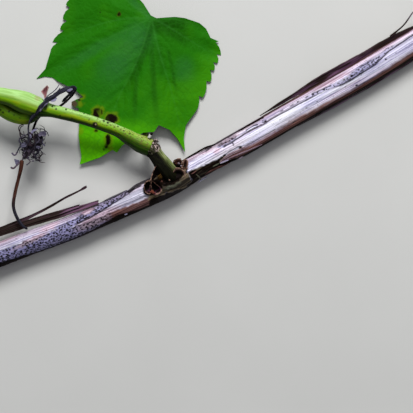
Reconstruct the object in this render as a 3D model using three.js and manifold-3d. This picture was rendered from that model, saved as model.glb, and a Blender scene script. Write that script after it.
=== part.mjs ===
// A cut length of grapevine: an old cane with shredding bark, and at its node a green shoot that
// carries one leaf, the stub of a second petiole and a dried tendril. The piece lies on a flat
// surface at z = 0, seen from above. Millimetres, +Z up, x along the piece, y across it.
import * as THREE from "three";
import { mergeVertices } from "three/addons/utils/BufferGeometryUtils.js";
import Module from "manifold-3d";

const wasm = await Module();
wasm.setup();
const { Manifold, Mesh: SolidMesh } = wasm;

// Driving sizes
const GAP = 0.3; // running gap between two pieces that grow on each other
const CANE_R = [5.6, 5.4]; // old cane, radius at its left and right cuts
const NODE_AT = 0.41; // share of the cane's length where its node is
const NODE_SWELL = 1.3; // how far the node stands out of the cane
const FOOT_R = 3.7; // brown foot of the shoot, on the cane's node
const SHOOT_R = 2.55; // green shoot, between its own nodes
const SHOOT_SWELL_R = 4; // where it comes out of the foot's ring
const PETIOLE_R = 1.15;
const TENDRIL_R = 0.8;
const BARK = 0.5; // thickness of a loose strip of bark
const HUSK = 0.5; // thickness of a dried bud scale
const LEAF_THICK = 1;
const LEAF_JUNCTION = [-24.1, 49.1]; // where the petiole meets the blade, in x and y
const LEAF_JUNCTION_R = 1.6; // the blade starts this far from it
const LEAF_TURN = 27.1; // the midrib points this many degrees left of -Y
const LEAF_RIDGE = 22; // the blade is folded over this direction, in degrees from the midrib
const LEAF_TOP = 6.7; // height of the blade's middle surface on that fold
const LEAF_LOW = 0.6; // and where its lobes touch the ground
const LEAF_FALL = [42, 30]; // distance over which the left and the right half fall to it

// The leaf's margin as [degrees from the midrib, mm from the junction], round from the left base.
// A pair whose third value is true is the tip of a tooth, and the margin dips between two teeth.
const LEAF_MARGIN = [
  [-120, 8], [-114, 20], [-107, 24.4], [-101, 28.4, true], [-95.6, 33, true], [-88, 36.6, true],
  [-80, 39.1, true], [-72.7, 40.2, true], [-63.3, 41, true], [-57.2, 42.5, true],
  [-50.7, 46.8, true], [-45.5, 48.9, true], [-38.6, 53.8], [-36.3, 59.3], [-35.4, 55.4],
  [-33.4, 52.8], [-30, 51.4], [-21, 47.5], [-14.7, 47.2], [-13, 52.4], [-8.6, 57.2],
  [-5.7, 62.3], [-2.5, 66.9], [-0.4, 70.3], [0.2, 73.6], [3.1, 70.1], [6.1, 67], [10, 61.9],
  [12.1, 62.5], [13.5, 59], [16.2, 55.6], [22.5, 51.6], [27.7, 51.1], [30.2, 48.1],
  [35.5, 50.6], [38.6, 55.1], [40.6, 61.7], [41.5, 55.4], [44.3, 50], [51.9, 45.8, true],
  [59.5, 41.8, true], [69.8, 38.2, true], [77, 35.8, true], [82.9, 35, true], [89.9, 34.5, true],
  [98.9, 31.2, true], [99.6, 27.2], [107.7, 24.2], [113, 21], [119, 14.4], [122, 9.9],
];

const rad = THREE.MathUtils.degToRad;
const lerp = THREE.MathUtils.lerp;
const smooth = THREE.MathUtils.smoothstep;
const v3 = (p) => new THREE.Vector3(...p);
const curveOf = (points) => new THREE.CatmullRomCurve3(points.map(v3), false, "centripetal");

// A seeded sequence of numbers from 0 to 1.
function seeded(seed) {
  let state = seed;
  return () => {
    state = (state * 16807) % 2147483647;
    return state / 2147483647;
  };
}

// A value along a limb, read from [share of its length, value] pairs.
function along(pairs, t) {
  const next = pairs.findIndex(([at]) => at >= t);
  if (next <= 0) return pairs[next === 0 ? 0 : pairs.length - 1][1];
  const [t0, a] = pairs[next - 1];
  const [t1, b] = pairs[next];
  return lerp(a, b, smooth(t, t0, t1));
}

// A closed solid from coordinates and faces, turned the right way out.
function solidFromFaces(at, faces) {
  const geometry = new THREE.BufferGeometry();
  geometry.setAttribute("position", new THREE.Float32BufferAttribute(at, 3));
  geometry.setIndex(faces);
  const merged = mergeVertices(geometry, 1e-4);
  const triVerts = new Uint32Array(merged.index.array);
  const vertProperties = merged.attributes.position.array;
  const solid = new Manifold(new SolidMesh({ numProp: 3, vertProperties, triVerts }));
  if (solid.volume() >= 0) return solid;
  for (let i = 0; i < triVerts.length; i += 3) {
    [triVerts[i + 1], triVerts[i + 2]] = [triVerts[i + 2], triVerts[i + 1]];
  }
  return new Manifold(new SolidMesh({ numProp: 3, vertProperties, triVerts }));
}

// A closed solid from rings of points, with a flat fan over each end.
function solidFromRings(rings) {
  const sides = rings[0].length;
  const at = rings.flat().flatMap((p) => p.toArray());
  const faces = [];
  for (let i = 0; i + 1 < rings.length; i++) {
    for (let j = 0; j < sides; j++) {
      const a = i * sides + j;
      const b = i * sides + ((j + 1) % sides);
      faces.push(a, b, b + sides, a, b + sides, a + sides);
    }
  }
  for (const last of [false, true]) {
    const ring = last ? rings.length - 1 : 0;
    const middle = new THREE.Vector3();
    rings[ring].forEach((p) => middle.addScaledVector(p, 1 / sides));
    const hub = at.length / 3;
    at.push(...middle.toArray());
    for (let j = 0; j < sides; j++) {
      const a = ring * sides + j;
      const b = ring * sides + ((j + 1) % sides);
      faces.push(...(last ? [hub, a, b] : [hub, b, a]));
    }
  }
  return solidFromFaces(at, faces);
}

// A thin closed solid from a grid of points, given on its upper (side 1) and lower face (side -1).
function shell(rows, columns, point) {
  const wide = columns + 1;
  const lower = (rows + 1) * wide;
  const at = [];
  for (const side of [1, -1]) {
    for (let i = 0; i <= rows; i++) {
      for (let j = 0; j <= columns; j++) at.push(...point(i, j, side).toArray());
    }
  }
  const faces = [];
  for (let i = 0; i < rows; i++) {
    for (let j = 0; j < columns; j++) {
      const a = i * wide + j;
      const b = a + lower;
      faces.push(a, a + wide, a + 1, a + 1, a + wide, a + wide + 1);
      faces.push(b, b + 1, b + wide, b + 1, b + wide + 1, b + wide);
    }
  }
  const rim = [];
  for (let j = 0; j < columns; j++) rim.push(j);
  for (let i = 0; i < rows; i++) rim.push(i * wide + columns);
  for (let j = columns; j > 0; j--) rim.push(rows * wide + j);
  for (let i = rows; i > 0; i--) rim.push(i * wide);
  rim.forEach((a, k) => {
    const b = rim[(k + 1) % rim.length];
    faces.push(a, b, b + lower, a, b + lower, a + lower);
  });
  return solidFromFaces(at, faces);
}

// A section carried along a curve: section(t) gives its points as [across, up] pairs. Across is
// level and to the left of the way the curve runs, or follows the curve where it climbs steeply.
// A grown solid also stands out past both ends of the curve.
function sweep(curve, steps, section, { level = true, grow = 0 } = {}) {
  const frames = level ? null : curve.computeFrenetFrames(steps, false);
  const rings = [];
  for (let i = 0; i <= steps; i++) {
    const t = i / steps;
    const tangent = curve.getTangentAt(t);
    const across = frames
      ? frames.normals[i]
      : new THREE.Vector3(-tangent.y, tangent.x, 0).normalize();
    const up = new THREE.Vector3().crossVectors(tangent, across).normalize();
    const centre = curve.getPointAt(t);
    if (i === 0) centre.addScaledVector(tangent, -grow);
    if (i === steps) centre.addScaledVector(tangent, grow);
    rings.push(
      section(t).map(([a, b]) => centre.clone().addScaledVector(across, a).addScaledVector(up, b)),
    );
  }
  return solidFromRings(rings);
}

// A round limb, with its radius as pairs along it.
function limb(curve, radii, { steps = 20, sides = 10, grow = 0, level = true } = {}) {
  const section = (t) =>
    Array.from({ length: sides }, (_, k) => {
      const turn = (k / sides) * 2 * Math.PI;
      const r = along(radii, t) + grow;
      return [r * Math.cos(turn), r * Math.sin(turn)];
    });
  return sweep(curve, steps, section, { level, grow });
}

// A strip of bark: a thin band that is curled across and tipped by its tilt about the curve.
function strip(curve, widths, tilts, { curl = 0.15, steps = 20, cells = 4, grow = 0 } = {}) {
  const section = (t) => {
    const width = along(widths, t) + 2 * grow;
    const tilt = rad(along(tilts, t));
    const pointAt = (share, side) => {
      const a = (share - 0.5) * width;
      const b = curl * width * (0.25 - (share - 0.5) ** 2) + side * (BARK / 2 + grow);
      return [a * Math.cos(tilt) - b * Math.sin(tilt), a * Math.sin(tilt) + b * Math.cos(tilt)];
    };
    const shares = Array.from({ length: cells + 1 }, (_, k) => k / cells);
    return [...shares.map((s) => pointAt(s, -1)), ...shares.reverse().map((s) => pointAt(s, 1))];
  };
  return sweep(curve, steps, section, { grow });
}

// A dried bud scale: a cupped blade from its foot to its tip, hollow towards face.
function budScale({ foot, tip, face, width, cup }, grow = 0) {
  const length = v3(tip).sub(v3(foot));
  const across = new THREE.Vector3().crossVectors(v3(face), length).normalize();
  const out = new THREE.Vector3().crossVectors(length, across).normalize();
  const [rows, columns] = [5, 4];
  return shell(rows, columns, (i, j, side) => {
    const s = i / rows;
    const b = (2 * j) / columns - 1;
    const half = width * 0.5 * Math.sqrt(Math.sin(Math.PI * (0.17 + 0.75 * s))) + grow;
    const sink = cup * (b * b - 1) * Math.sin(Math.PI * (0.2 + 0.6 * s));
    return v3(foot)
      .addScaledVector(length, s)
      .addScaledVector(across, b * half)
      .addScaledVector(out, sink + side * (HUSK / 2 + grow));
  });
}

// An open oval cup, as a dried bud leaves behind. The rings run up its outside and down inside; a
// grown cup is filled in.
function openCup({ centre, half, depth, face }, grow = 0) {
  const upright = new THREE.Vector3(0, 0, 1);
  const turn = new THREE.Quaternion().setFromUnitVectors(upright, v3(face).normalize());
  const inner = 1 - HUSK / half[0];
  const outside = [[0.55, -depth - grow], [0.95, -0.5 * depth], [1, grow]];
  const inside = [[inner, 0], [inner - 0.05, -0.45 * depth], [0.5 * inner, -0.8 * depth]];
  const profile = grow ? outside : [...outside, ...inside];
  const sides = 12;
  const rings = profile.map(([scale, height]) =>
    Array.from({ length: sides }, (_, k) => {
      const a = (k / sides) * 2 * Math.PI;
      const lip = height >= 0 ? 0.5 * Math.sin(2 * a + 1) : 0;
      const [x, y] = half.map((reach) => (reach + grow) * scale);
      return v3([x * Math.cos(a), y * Math.sin(a), height + lip]).applyQuaternion(turn).add(v3(centre));
    }),
  );
  return solidFromRings(rings);
}

// What is left of a piece once its neighbours are cut out of it: its largest body.
function cutBy(piece, ...neighbours) {
  const left = neighbours.reduce((rest, other) => rest.subtract(other), piece);
  return left.decompose().reduce((a, b) => (b.volume() > a.volume() ? b : a));
}

// The old cane. Its node swells only above and towards the shoot, and shallow grooves run along it.
const caneLine = curveOf([
  [-100.1, -60.2, 5.7], [-81.7, -52.9, 5.7], [-59.2, -44.5, 5.7], [-34.4, -33.5, 5.7],
  [-16.4, -25.3, 5.7], [-2.9, -17, 5.7], [22.5, -2.3, 5.6], [66.9, 22.9, 5.5],
  [99.5, 42.4, 5.5],
]);
function caneSolid(grow = 0) {
  const sides = 16;
  const section = (t) => {
    const r = lerp(...CANE_R, t) + grow;
    const swell = NODE_SWELL * Math.exp(-(((t - NODE_AT) / 0.045) ** 2));
    return Array.from({ length: sides }, (_, k) => {
      const turn = (k / sides) * 2 * Math.PI;
      const above = Math.max(0, Math.sin(turn + 0.5));
      const groove = 0.2 * Math.max(0, Math.cos(4 * turn + 3 * t)) * Math.max(0, Math.sin(turn));
      const out = r + swell * above - groove;
      return [out * Math.cos(turn), Math.max(out * Math.sin(turn), -r)];
    });
  };
  return sweep(caneLine, 36, section, { grow });
}

// A point d millimetres from the cane's middle, across the piece, at this x and height.
function besideCane(x, d, z) {
  const at = (t) => {
    const tangent = caneLine.getTangentAt(t);
    const across = new THREE.Vector3(-tangent.y, tangent.x, 0).normalize();
    return caneLine.getPointAt(t).addScaledVector(across, d);
  };
  let [low, high] = [0, 1];
  while (high - low > 1e-4) {
    const middle = (low + high) / 2;
    if (at(middle).x < x) low = middle;
    else high = middle;
  }
  return [x, at(low).y, z];
}
const besideCaneLine = (points) => curveOf(points.map((p) => besideCane(...p)));

// Loose bark: strips that have come away along the cane, and fibres that end free. Most of them
// follow the cane, by x, distance from its middle and height.
const barkStrips = {
  bark_strip_left: (grow = 0) =>
    strip(
      besideCaneLine([
        [-99, 9.4, 6.6], [-81.6, 8.5, 7.6], [-66, 7.4, 8.2], [-55, 6.4, 8.7], [-47.6, 5.5, 9],
      ]),
      [[0, 2.8], [0.6, 3.1], [0.8, 2.6], [1, 2.2]],
      [[0, 8], [0.6, -14], [1, -40]],
      { grow },
    ),
  bark_fibre_left: (grow = 0) =>
    strip(
      besideCaneLine([
        [-99, 10.4, 5.6], [-85.2, 10.7, 6], [-76.7, 11.4, 6.6], [-70.4, 12.3, 7.2],
        [-63.2, 13.5, 7.8], [-56.5, 13.9, 8.2], [-53.3, 14.3, 8.4],
      ]),
      [[0, 3], [0.3, 1.8], [0.5, 0.8], [0.9, 0.6], [1, 1]],
      [[0, 4], [1, -6]],
      { grow, cells: 2 },
    ),
  bark_flap_right: (grow = 0) =>
    strip(
      besideCaneLine([
        [24, 5.8, 6.6], [37.6, 6.3, 6.3], [51.2, 6.6, 6.2], [69.4, 6.3, 6.2], [83, 6.1, 6.2],
        [99, 5.7, 6.2],
      ]),
      [[0, 0.8], [0.15, 2.2], [0.4, 3.5], [0.7, 3], [1, 2.4]],
      [[0, 20], [1, 26]],
      { grow, curl: -0.2 },
    ),
  bark_fibre_right: (grow = 0) =>
    strip(
      curveOf([[82.5, 40.8, 7], [88.4, 46, 8], [93, 52, 8.8], [97, 57.6, 9.4]]),
      [[0, 0.9], [0.3, 0.6], [1, 0.5]],
      [[0, 20], [1, 0]],
      { grow, steps: 8, cells: 2 },
    ),
  bark_strip_under: (grow = 0) =>
    strip(
      besideCaneLine([[41, -5.4, 4.2], [62, -6, 4.2], [86, -5.9, 4.2], [99, -6, 4.2]]),
      [[0, 0.9], [0.3, 1.6], [0.8, 1.7], [1, 1.3]],
      [[0, 66], [1, 62]],
      { grow, steps: 14, cells: 2 },
    ),
};

// The shoot: a brown foot on the cane, a dry ring, the green shoot, and the two limbs it forks to
const shootLimbs = {
  shoot: {
    line: [
      [-25.5, -9.2, 12.7], [-29.6, -7.5, 13], [-34, -5.1, 13.5], [-39.5, -2, 14.2],
      [-50.7, 2.3, 15.4], [-64.7, 6.4, 16.2], [-71.4, 7.8, 16.4], [-75, 8.4, 16.4],
    ],
    radii: [
      [0, SHOOT_SWELL_R], [0.08, SHOOT_SWELL_R], [0.18, 3.3], [0.31, SHOOT_R], [0.82, SHOOT_R],
      [1, 4.4],
    ],
    steps: 24,
  },
  shoot_ring: {
    line: [[-22.9, -11.8, 12.2], [-23.8, -10.5, 12.4], [-24.7, -9.8, 12.6], [-25.5, -9.4, 12.7]],
    radii: [[0, FOOT_R - 0.4], [0.5, FOOT_R], [1, FOOT_R - 0.1]],
    steps: 4,
  },
  shoot_foot: {
    line: [
      [-16.2, -22.7, 6.5], [-18, -20, 9.6], [-20.2, -16.4, 11.4], [-22, -13.2, 12],
      [-23.2, -11.3, 12.3],
    ],
    radii: [[0, FOOT_R + 0.3], [0.5, FOOT_R], [0.8, FOOT_R - 0.4], [1, FOOT_R - 0.3]],
    steps: 8,
  },
  petiole_stub: {
    line: [
      [-75.4, 8.7, 16.6], [-79.9, 10.3, 17], [-85.4, 12.2, 17.6], [-91, 13.5, 18],
      [-98.4, 14.8, 18.4],
    ],
    radii: [[0, 4.5], [0.2, 4.9], [0.6, 3.6], [1, 2.5]],
    steps: 10,
  },
  shoot_tip: {
    line: [
      [-76, 5.5, 14.6], [-80.6, 4.2, 13.4], [-86.1, 5.4, 13], [-91.7, 8.9, 13.2], [-99.2, 14, 13.6],
    ],
    radii: [[0, 2.6], [0.2, 3.3], [0.6, 3.5], [1, 3]],
    steps: 10,
  },
};
const shootSolid = (name, grow = 0) => {
  const { line, radii, steps } = shootLimbs[name];
  return limb(curveOf(line), radii, { steps, sides: 12, grow });
};

// The leaf's own petiole springs from under the ring and runs behind the blade to the junction.
const petioleSolid = (grow = 0) =>
  limb(
    curveOf([
      [-24.8, -9.8, 9.8], [-26.2, -7, 6.6], [-27.6, -2.6, 4], [-29.2, 5, 2.2], [-30.4, 18, 1.9],
      [-28.8, 33, 2.2], [-25.8, 44, 3.2], [-24.5, 47.8, 4.6], [...LEAF_JUNCTION, 6.6],
    ]),
    [[0, 1.5], [0.12, PETIOLE_R], [1, PETIOLE_R]],
    { steps: 24, sides: 8, grow, level: false },
  );

// Height of the blade's middle surface: a fold along the ridge, falling to the ground on each side
function leafHeight(degrees, distance) {
  const off = degrees - LEAF_RIDGE;
  const aside = Math.abs(off) < 90 ? distance * Math.abs(Math.sin(rad(off))) : distance;
  const fall = smooth(aside, 0, LEAF_FALL[off < 0 ? 0 : 1]);
  const pucker = 0.3 * Math.sin(rad(off * 9)) * smooth(distance, 8, 40) * (1 - fall);
  return lerp(LEAF_TOP, LEAF_LOW, fall) + pucker;
}

// The margin with a dip between each tooth and the next
function leafMargin() {
  return LEAF_MARGIN.flatMap(([degrees, reach, tooth], k) => {
    const next = LEAF_MARGIN[k + 1];
    if (!tooth || !next[2]) return [[degrees, reach]];
    return [[degrees, reach], [lerp(degrees, next[0], 0.45), lerp(reach, next[1], 0.45) * 0.955]];
  });
}

function leafPoint(degrees, distance, side) {
  const turn = rad(degrees - LEAF_TURN);
  return new THREE.Vector3(
    LEAF_JUNCTION[0] + distance * Math.sin(turn),
    LEAF_JUNCTION[1] - distance * Math.cos(turn),
    leafHeight(degrees, distance) + (side * LEAF_THICK) / 2,
  );
}

// Holes in the blade, each from one point to another and of this radius
const LEAF_HOLES = [
  { from: [-49.3, 6.6], to: [-48.7, 6.9], r: 1.6 },
  { from: [-43.5, 4], to: [-42.5, 4.2], r: 1.9 },
  { from: [-44.3, -4.6], to: [-44.2, -6.8], r: 0.7 },
];
function holeBar({ from, to, r }) {
  const heading = Math.atan2(to[1] - from[1], to[0] - from[0]);
  const sides = 6;
  const arc = ([x, y], start) =>
    Array.from({ length: sides }, (_, k) => {
      const a = start + (k / (sides - 1)) * Math.PI;
      return [x + r * Math.cos(a), y + r * Math.sin(a)];
    });
  const outline = [...arc(to, heading - Math.PI / 2), ...arc(from, heading + Math.PI / 2)];
  return solidFromRings([-2, 12].map((z) => outline.map(([x, y]) => v3([x, y, z]))));
}

function leafSolid() {
  const margin = leafMargin();
  const shares = [0, 0.35, 0.62, 0.84, 1];
  const blade = shell(shares.length - 1, margin.length - 1, (i, j, side) => {
    const [degrees, reach] = margin[j];
    return leafPoint(degrees, lerp(LEAF_JUNCTION_R, reach, shares[i]), side);
  });
  return cutBy(blade, ...LEAF_HOLES.map(holeBar));
}

// The two open husks beside the foot, and the dried scales and the small bud round it
const huskCups = [
  { centre: [-26.4, -26.2, 12.6], half: [2.7, 3.3], depth: 3.4, face: [-0.35, 0.1, 1] },
  { centre: [-22.2, -26.3, 13], half: [3, 3.9], depth: 3.6, face: [0.2, -0.15, 1] },
];
const huskSolid = (grow = 0) => huskCups.map((cup) => openCup(cup, grow)).reduce((a, b) => a.add(b));
const driedScales = {
  bud_scale_left: {
    foot: [-25, -23, 10.6], tip: [-21.4, -16.6, 13.4], face: [0.6, -0.6, 0.6], width: 4.6, cup: 1.1,
  },
  bud_scale_right: {
    foot: [-10.6, -22.4, 11], tip: [-12.6, -18.4, 13], face: [-0.6, -0.2, 0.8], width: 5.4, cup: 1.4,
  },
  bud_scale_upper: {
    foot: [-9.4, -19, 9.8], tip: [-13.2, -14.6, 11.2], face: [-0.3, -0.6, 0.8], width: 5.6, cup: 1,
  },
  dry_bract: {
    foot: [-70.6, 11, 17.8], tip: [-71.4, 16.9, 20.6], face: [0.2, -0.4, 1], width: 3, cup: 0.6,
  },
};
const budSolid = (grow = 0) =>
  limb(
    curveOf([[-20.9, -23.4, 11], [-20.8, -22.6, 12.6], [-20.6, -21.8, 13.8], [-20.4, -21, 14.6]]),
    [[0, 1.2], [0.5, 1.25], [1, 0.3]],
    { steps: 5, sides: 8, level: false, grow },
  );

// The dried tendril: a stem that hooks on the loose bark, then a dead tangle and a coil that goes
// over the shoot, doubles back and passes under it
const stemSolid = (grow = 0) =>
  limb(
    curveOf([
      [-80, -45.6, 9.4], [-81.2, -44.9, 9.8], [-83, -42.9, 10.6], [-84.9, -39.5, 11.4],
      [-86, -35.3, 11.8], [-85.2, -29.5, 12.2], [-83.7, -23.7, 12.8], [-82.4, -18.4, 13.2],
      [-81.9, -14.9, 13.6],
    ]),
    [[0, 0.5], [0.15, TENDRIL_R], [0.7, TENDRIL_R], [1, 0.95]],
    { steps: 22, sides: 8, grow, level: false },
  );
const coilSolid = () =>
  limb(
    curveOf([
      [-81.8, -14.5, 13.7], [-80.7, -10.4, 14], [-79.3, -5.1, 14.6], [-78.1, -0.3, 15.8],
      [-76.1, 3.7, 18.8], [-73.9, 5.7, 20.8], [-72, 8.1, 21.6], [-69.8, 10.4, 21.2],
      [-66.7, 13, 20.4], [-63.5, 15.4, 19.2], [-58.4, 17.2, 17.2], [-57.9, 15.6, 15.6],
      [-60.2, 13.3, 13.6], [-63.7, 10.4, 12], [-66.7, 7.1, 11.6], [-69.8, 2.6, 11.8],
      [-75.7, -2.8, 13.2], [-78.4, -6.4, 13.6],
    ]),
    [[0, TENDRIL_R], [0.2, 0.7], [0.36, 1.05], [0.55, 0.9], [0.62, 0.7], [1, 0.5]],
    { steps: 44, sides: 7, level: false },
  );

// One crumpled strand of the tangle: it wanders about its own centre.
function strand(random, centre, spread) {
  const start = random() * 2 * Math.PI;
  const points = Array.from({ length: 6 }, (_, k) => {
    const turn = start + k * (0.9 + 0.5 * random());
    const reach = spread * (0.55 + 0.5 * random());
    return [
      centre[0] + 0.8 * reach * Math.cos(turn),
      centre[1] + 1.2 * reach * Math.sin(turn),
      centre[2] + 0.5 * spread * (random() - 0.5),
    ];
  });
  const r = 0.42 + 0.2 * random();
  const radii = [[0, r], [0.5, 1.3 * r], [1, 0.7 * r]];
  return limb(curveOf(points), radii, { steps: 11, sides: 5, level: false });
}

function tangleSolid() {
  const random = seeded(23);
  const heart = limb(
    curveOf([[-82, -13.4, 13.8], [-81, -9, 14], [-79, -4.6, 14.4], [-77, -1.4, 14.4]]),
    [[0, 0.9], [0.4, 2.1], [0.7, 1.5], [1, 0.7]],
    { steps: 8, sides: 7 },
  );
  const centres = [[-81.6, -8, 14], [-78, -8.4, 14.4], [-79.6, -3.6, 14.4], [-82.4, -11.4, 14]];
  const strands = centres.map((centre) => strand(random, centre, 4));
  return strands.reduce((all, one) => all.add(one), coilSolid().add(heart));
}

// The pieces, each cut clear of the ones it grows on
const vineSolids = { cane: caneSolid() };

const barkGrown = [caneSolid(GAP)];
for (const [name, make] of Object.entries(barkStrips)) {
  vineSolids[name] = cutBy(make(), ...barkGrown);
  barkGrown.push(make(GAP));
}

const limbsGrown = [caneSolid(GAP)];
for (const name of Object.keys(shootLimbs)) {
  vineSolids[name] = cutBy(shootSolid(name), ...limbsGrown);
  limbsGrown.push(shootSolid(name, GAP));
}
vineSolids.petiole = cutBy(petioleSolid(), ...limbsGrown);
vineSolids.leaf = cutBy(leafSolid(), petioleSolid(GAP), ...limbsGrown);

vineSolids.bud_husk = cutBy(huskSolid(), ...limbsGrown);
vineSolids.bud = cutBy(budSolid(), huskSolid(GAP), ...limbsGrown);
const scalesGrown = [huskSolid(GAP), budSolid(GAP)];
for (const [name, sizes] of Object.entries(driedScales)) {
  vineSolids[name] = cutBy(budScale(sizes), ...limbsGrown, ...scalesGrown);
  scalesGrown.push(budScale(sizes, GAP));
}

vineSolids.tendril_stem = cutBy(stemSolid(), ...barkGrown);
vineSolids.tendril_coil = cutBy(tangleSolid(), stemSolid(GAP), ...limbsGrown, ...scalesGrown);

// Colour and finish of each kind of surface, and the names of the pieces that have it
const finish = (color, roughness) => new THREE.MeshStandardMaterial({ color, roughness, metalness: 0 });
const FINISHES = [
  [/^cane$/, finish(0x8f7d7a, 0.85)],
  [/^bark_/, finish(0x5b3a33, 0.9)],
  [/^(shoot|shoot_tip|petiole|petiole_stub)$/, finish(0x8fae3a, 0.5)],
  [/^shoot_(foot|ring)$/, finish(0x6f6a34, 0.6)],
  [/^bud/, finish(0x6b4a34, 0.85)],
  [/^dry_bract$/, finish(0xa05048, 0.8)],
  [/^leaf$/, finish(0x2f7a22, 0.55)],
  [/^tendril_/, finish(0x3b3233, 0.9)],
];

const vine = new THREE.Group();
for (const [name, solid] of Object.entries(vineSolids)) {
  const { vertProperties, triVerts } = solid.getMesh();
  const geometry = new THREE.BufferGeometry();
  geometry.setAttribute("position", new THREE.BufferAttribute(new Float32Array(vertProperties), 3));
  geometry.setIndex(new THREE.BufferAttribute(new Uint32Array(triVerts), 1));
  geometry.computeVertexNormals();
  const [, material] = FINISHES.find(([pattern]) => pattern.test(name));
  const mesh = new THREE.Mesh(geometry, material.clone());
  mesh.name = name;
  vine.add(mesh);
}

export default vine;
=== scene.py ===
# A cut length of old grapevine cane on a pale floor, seen from straight above: shredding bark, a green
# side shoot with one lobed leaf, and a dried tendril. Metres in the scene, millimetres in this script.
import math
import random

import bpy
import numpy as np
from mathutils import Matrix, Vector
from mathutils.geometry import delaunay_2d_cdt


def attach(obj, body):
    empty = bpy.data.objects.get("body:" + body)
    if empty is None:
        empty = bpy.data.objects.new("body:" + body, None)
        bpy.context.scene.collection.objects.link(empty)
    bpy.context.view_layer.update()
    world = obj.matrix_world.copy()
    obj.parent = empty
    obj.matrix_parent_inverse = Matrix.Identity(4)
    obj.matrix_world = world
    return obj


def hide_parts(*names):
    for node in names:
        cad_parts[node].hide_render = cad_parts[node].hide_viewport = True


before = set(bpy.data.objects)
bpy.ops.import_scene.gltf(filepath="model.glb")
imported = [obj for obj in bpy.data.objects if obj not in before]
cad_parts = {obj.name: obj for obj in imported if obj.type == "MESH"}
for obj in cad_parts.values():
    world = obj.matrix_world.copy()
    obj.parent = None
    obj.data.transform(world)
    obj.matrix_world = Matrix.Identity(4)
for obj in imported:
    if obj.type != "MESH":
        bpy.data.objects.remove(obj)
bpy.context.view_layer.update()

MM = 0.001

# The photo's frame: its size in pixels, and the camera over the middle of it
PHOTO_SIZE = 413
PIXEL = 0.45
PHOTO_CENTRE = np.array([0.0, -35.5])
CAMERA_REACH = 600.0
CANE_MIDDLE = 5.5
LOWEST = 0.03


def pixel_size(height):
    """Size of one pixel of the photo at this height, in millimetres."""
    return PIXEL * (1 - (height - CANE_MIDDLE) / CAMERA_REACH)


def spot(u, v, height):
    """The point that a pixel of the photo shows, at this height."""
    size = pixel_size(height)
    half = PHOTO_SIZE / 2
    return [(u - half) * size + PHOTO_CENTRE[0], PHOTO_CENTRE[1] - (v - half) * size, height]


def pixel_of(points):
    """The photo's pixel for each of these points."""
    size = pixel_size(points[:, 2])
    half = PHOTO_SIZE / 2
    return np.stack(
        [(points[:, 0] - PHOTO_CENTRE[0]) / size + half, half - (points[:, 1] - PHOTO_CENTRE[1]) / size], -1
    )


# Lines, noise and distances
def smooth(value, low, high):
    """0 below low, 1 above high and a soft step between them."""
    x = np.clip((value - low) / (high - low), 0, 1)
    return x * x * (3 - 2 * x)


def fade(value, low, high):
    """1 below low, 0 above high and a soft step between them."""
    return 1 - smooth(value, low, high)


def bell(value, middle, reach):
    """1 at the middle, falling softly to 0 on both sides over this reach."""
    return np.exp(-(((value - middle) / reach) ** 2))


def blend(a, b, share):
    return a + (b - a) * share


def along_pairs(pairs, share):
    """Values read from [share, value] pairs, with soft steps between them."""
    share = np.asarray(share, float)
    values = np.full(share.shape, float(pairs[0][1]))
    for (low, _), (high, after) in zip(pairs, pairs[1:]):
        values = blend(values, after, smooth(share, low, high))
    return values


# Large odd numbers that stir whole numbers into even noise
STIR = np.array([374761393, 668265263, 1274126177])
STIR_SEED, STIR_AGAIN = 97531, 2246822519
MASK = 0xFFFFFFFF


def lattice(cell, seed):
    """A number from 0 to 1 for each whole-numbered cell."""
    keys = (cell @ STIR + seed * STIR_SEED) & MASK
    keys = ((keys ^ (keys >> 13)) * STIR[2]) & MASK
    keys = ((keys ^ (keys >> 15)) * STIR_AGAIN) & MASK
    return (keys ^ (keys >> 16)) / MASK


def noise(points, size, seed, octaves=1):
    """Smooth seeded noise from -1 to 1, its features of this size in mm, one number or three."""
    total, weight, gain = 0.0, 0.0, 1.0
    at = np.asarray(points, float) / np.asarray(size, float)
    for octave in range(octaves):
        cell = np.floor(at).astype(np.int64)
        part = at - cell
        part = part * part * (3 - 2 * part)
        value = 0.0
        for corner in np.ndindex(2, 2, 2):
            share = np.prod(np.where(corner, part, 1 - part), axis=1)
            value = value + share * lattice(cell + corner, seed + octave)
        total = total + gain * (2 * value - 1)
        weight += gain
        gain *= 0.5
        at = at * 2.03 + 7.7
    return total / weight


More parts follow.
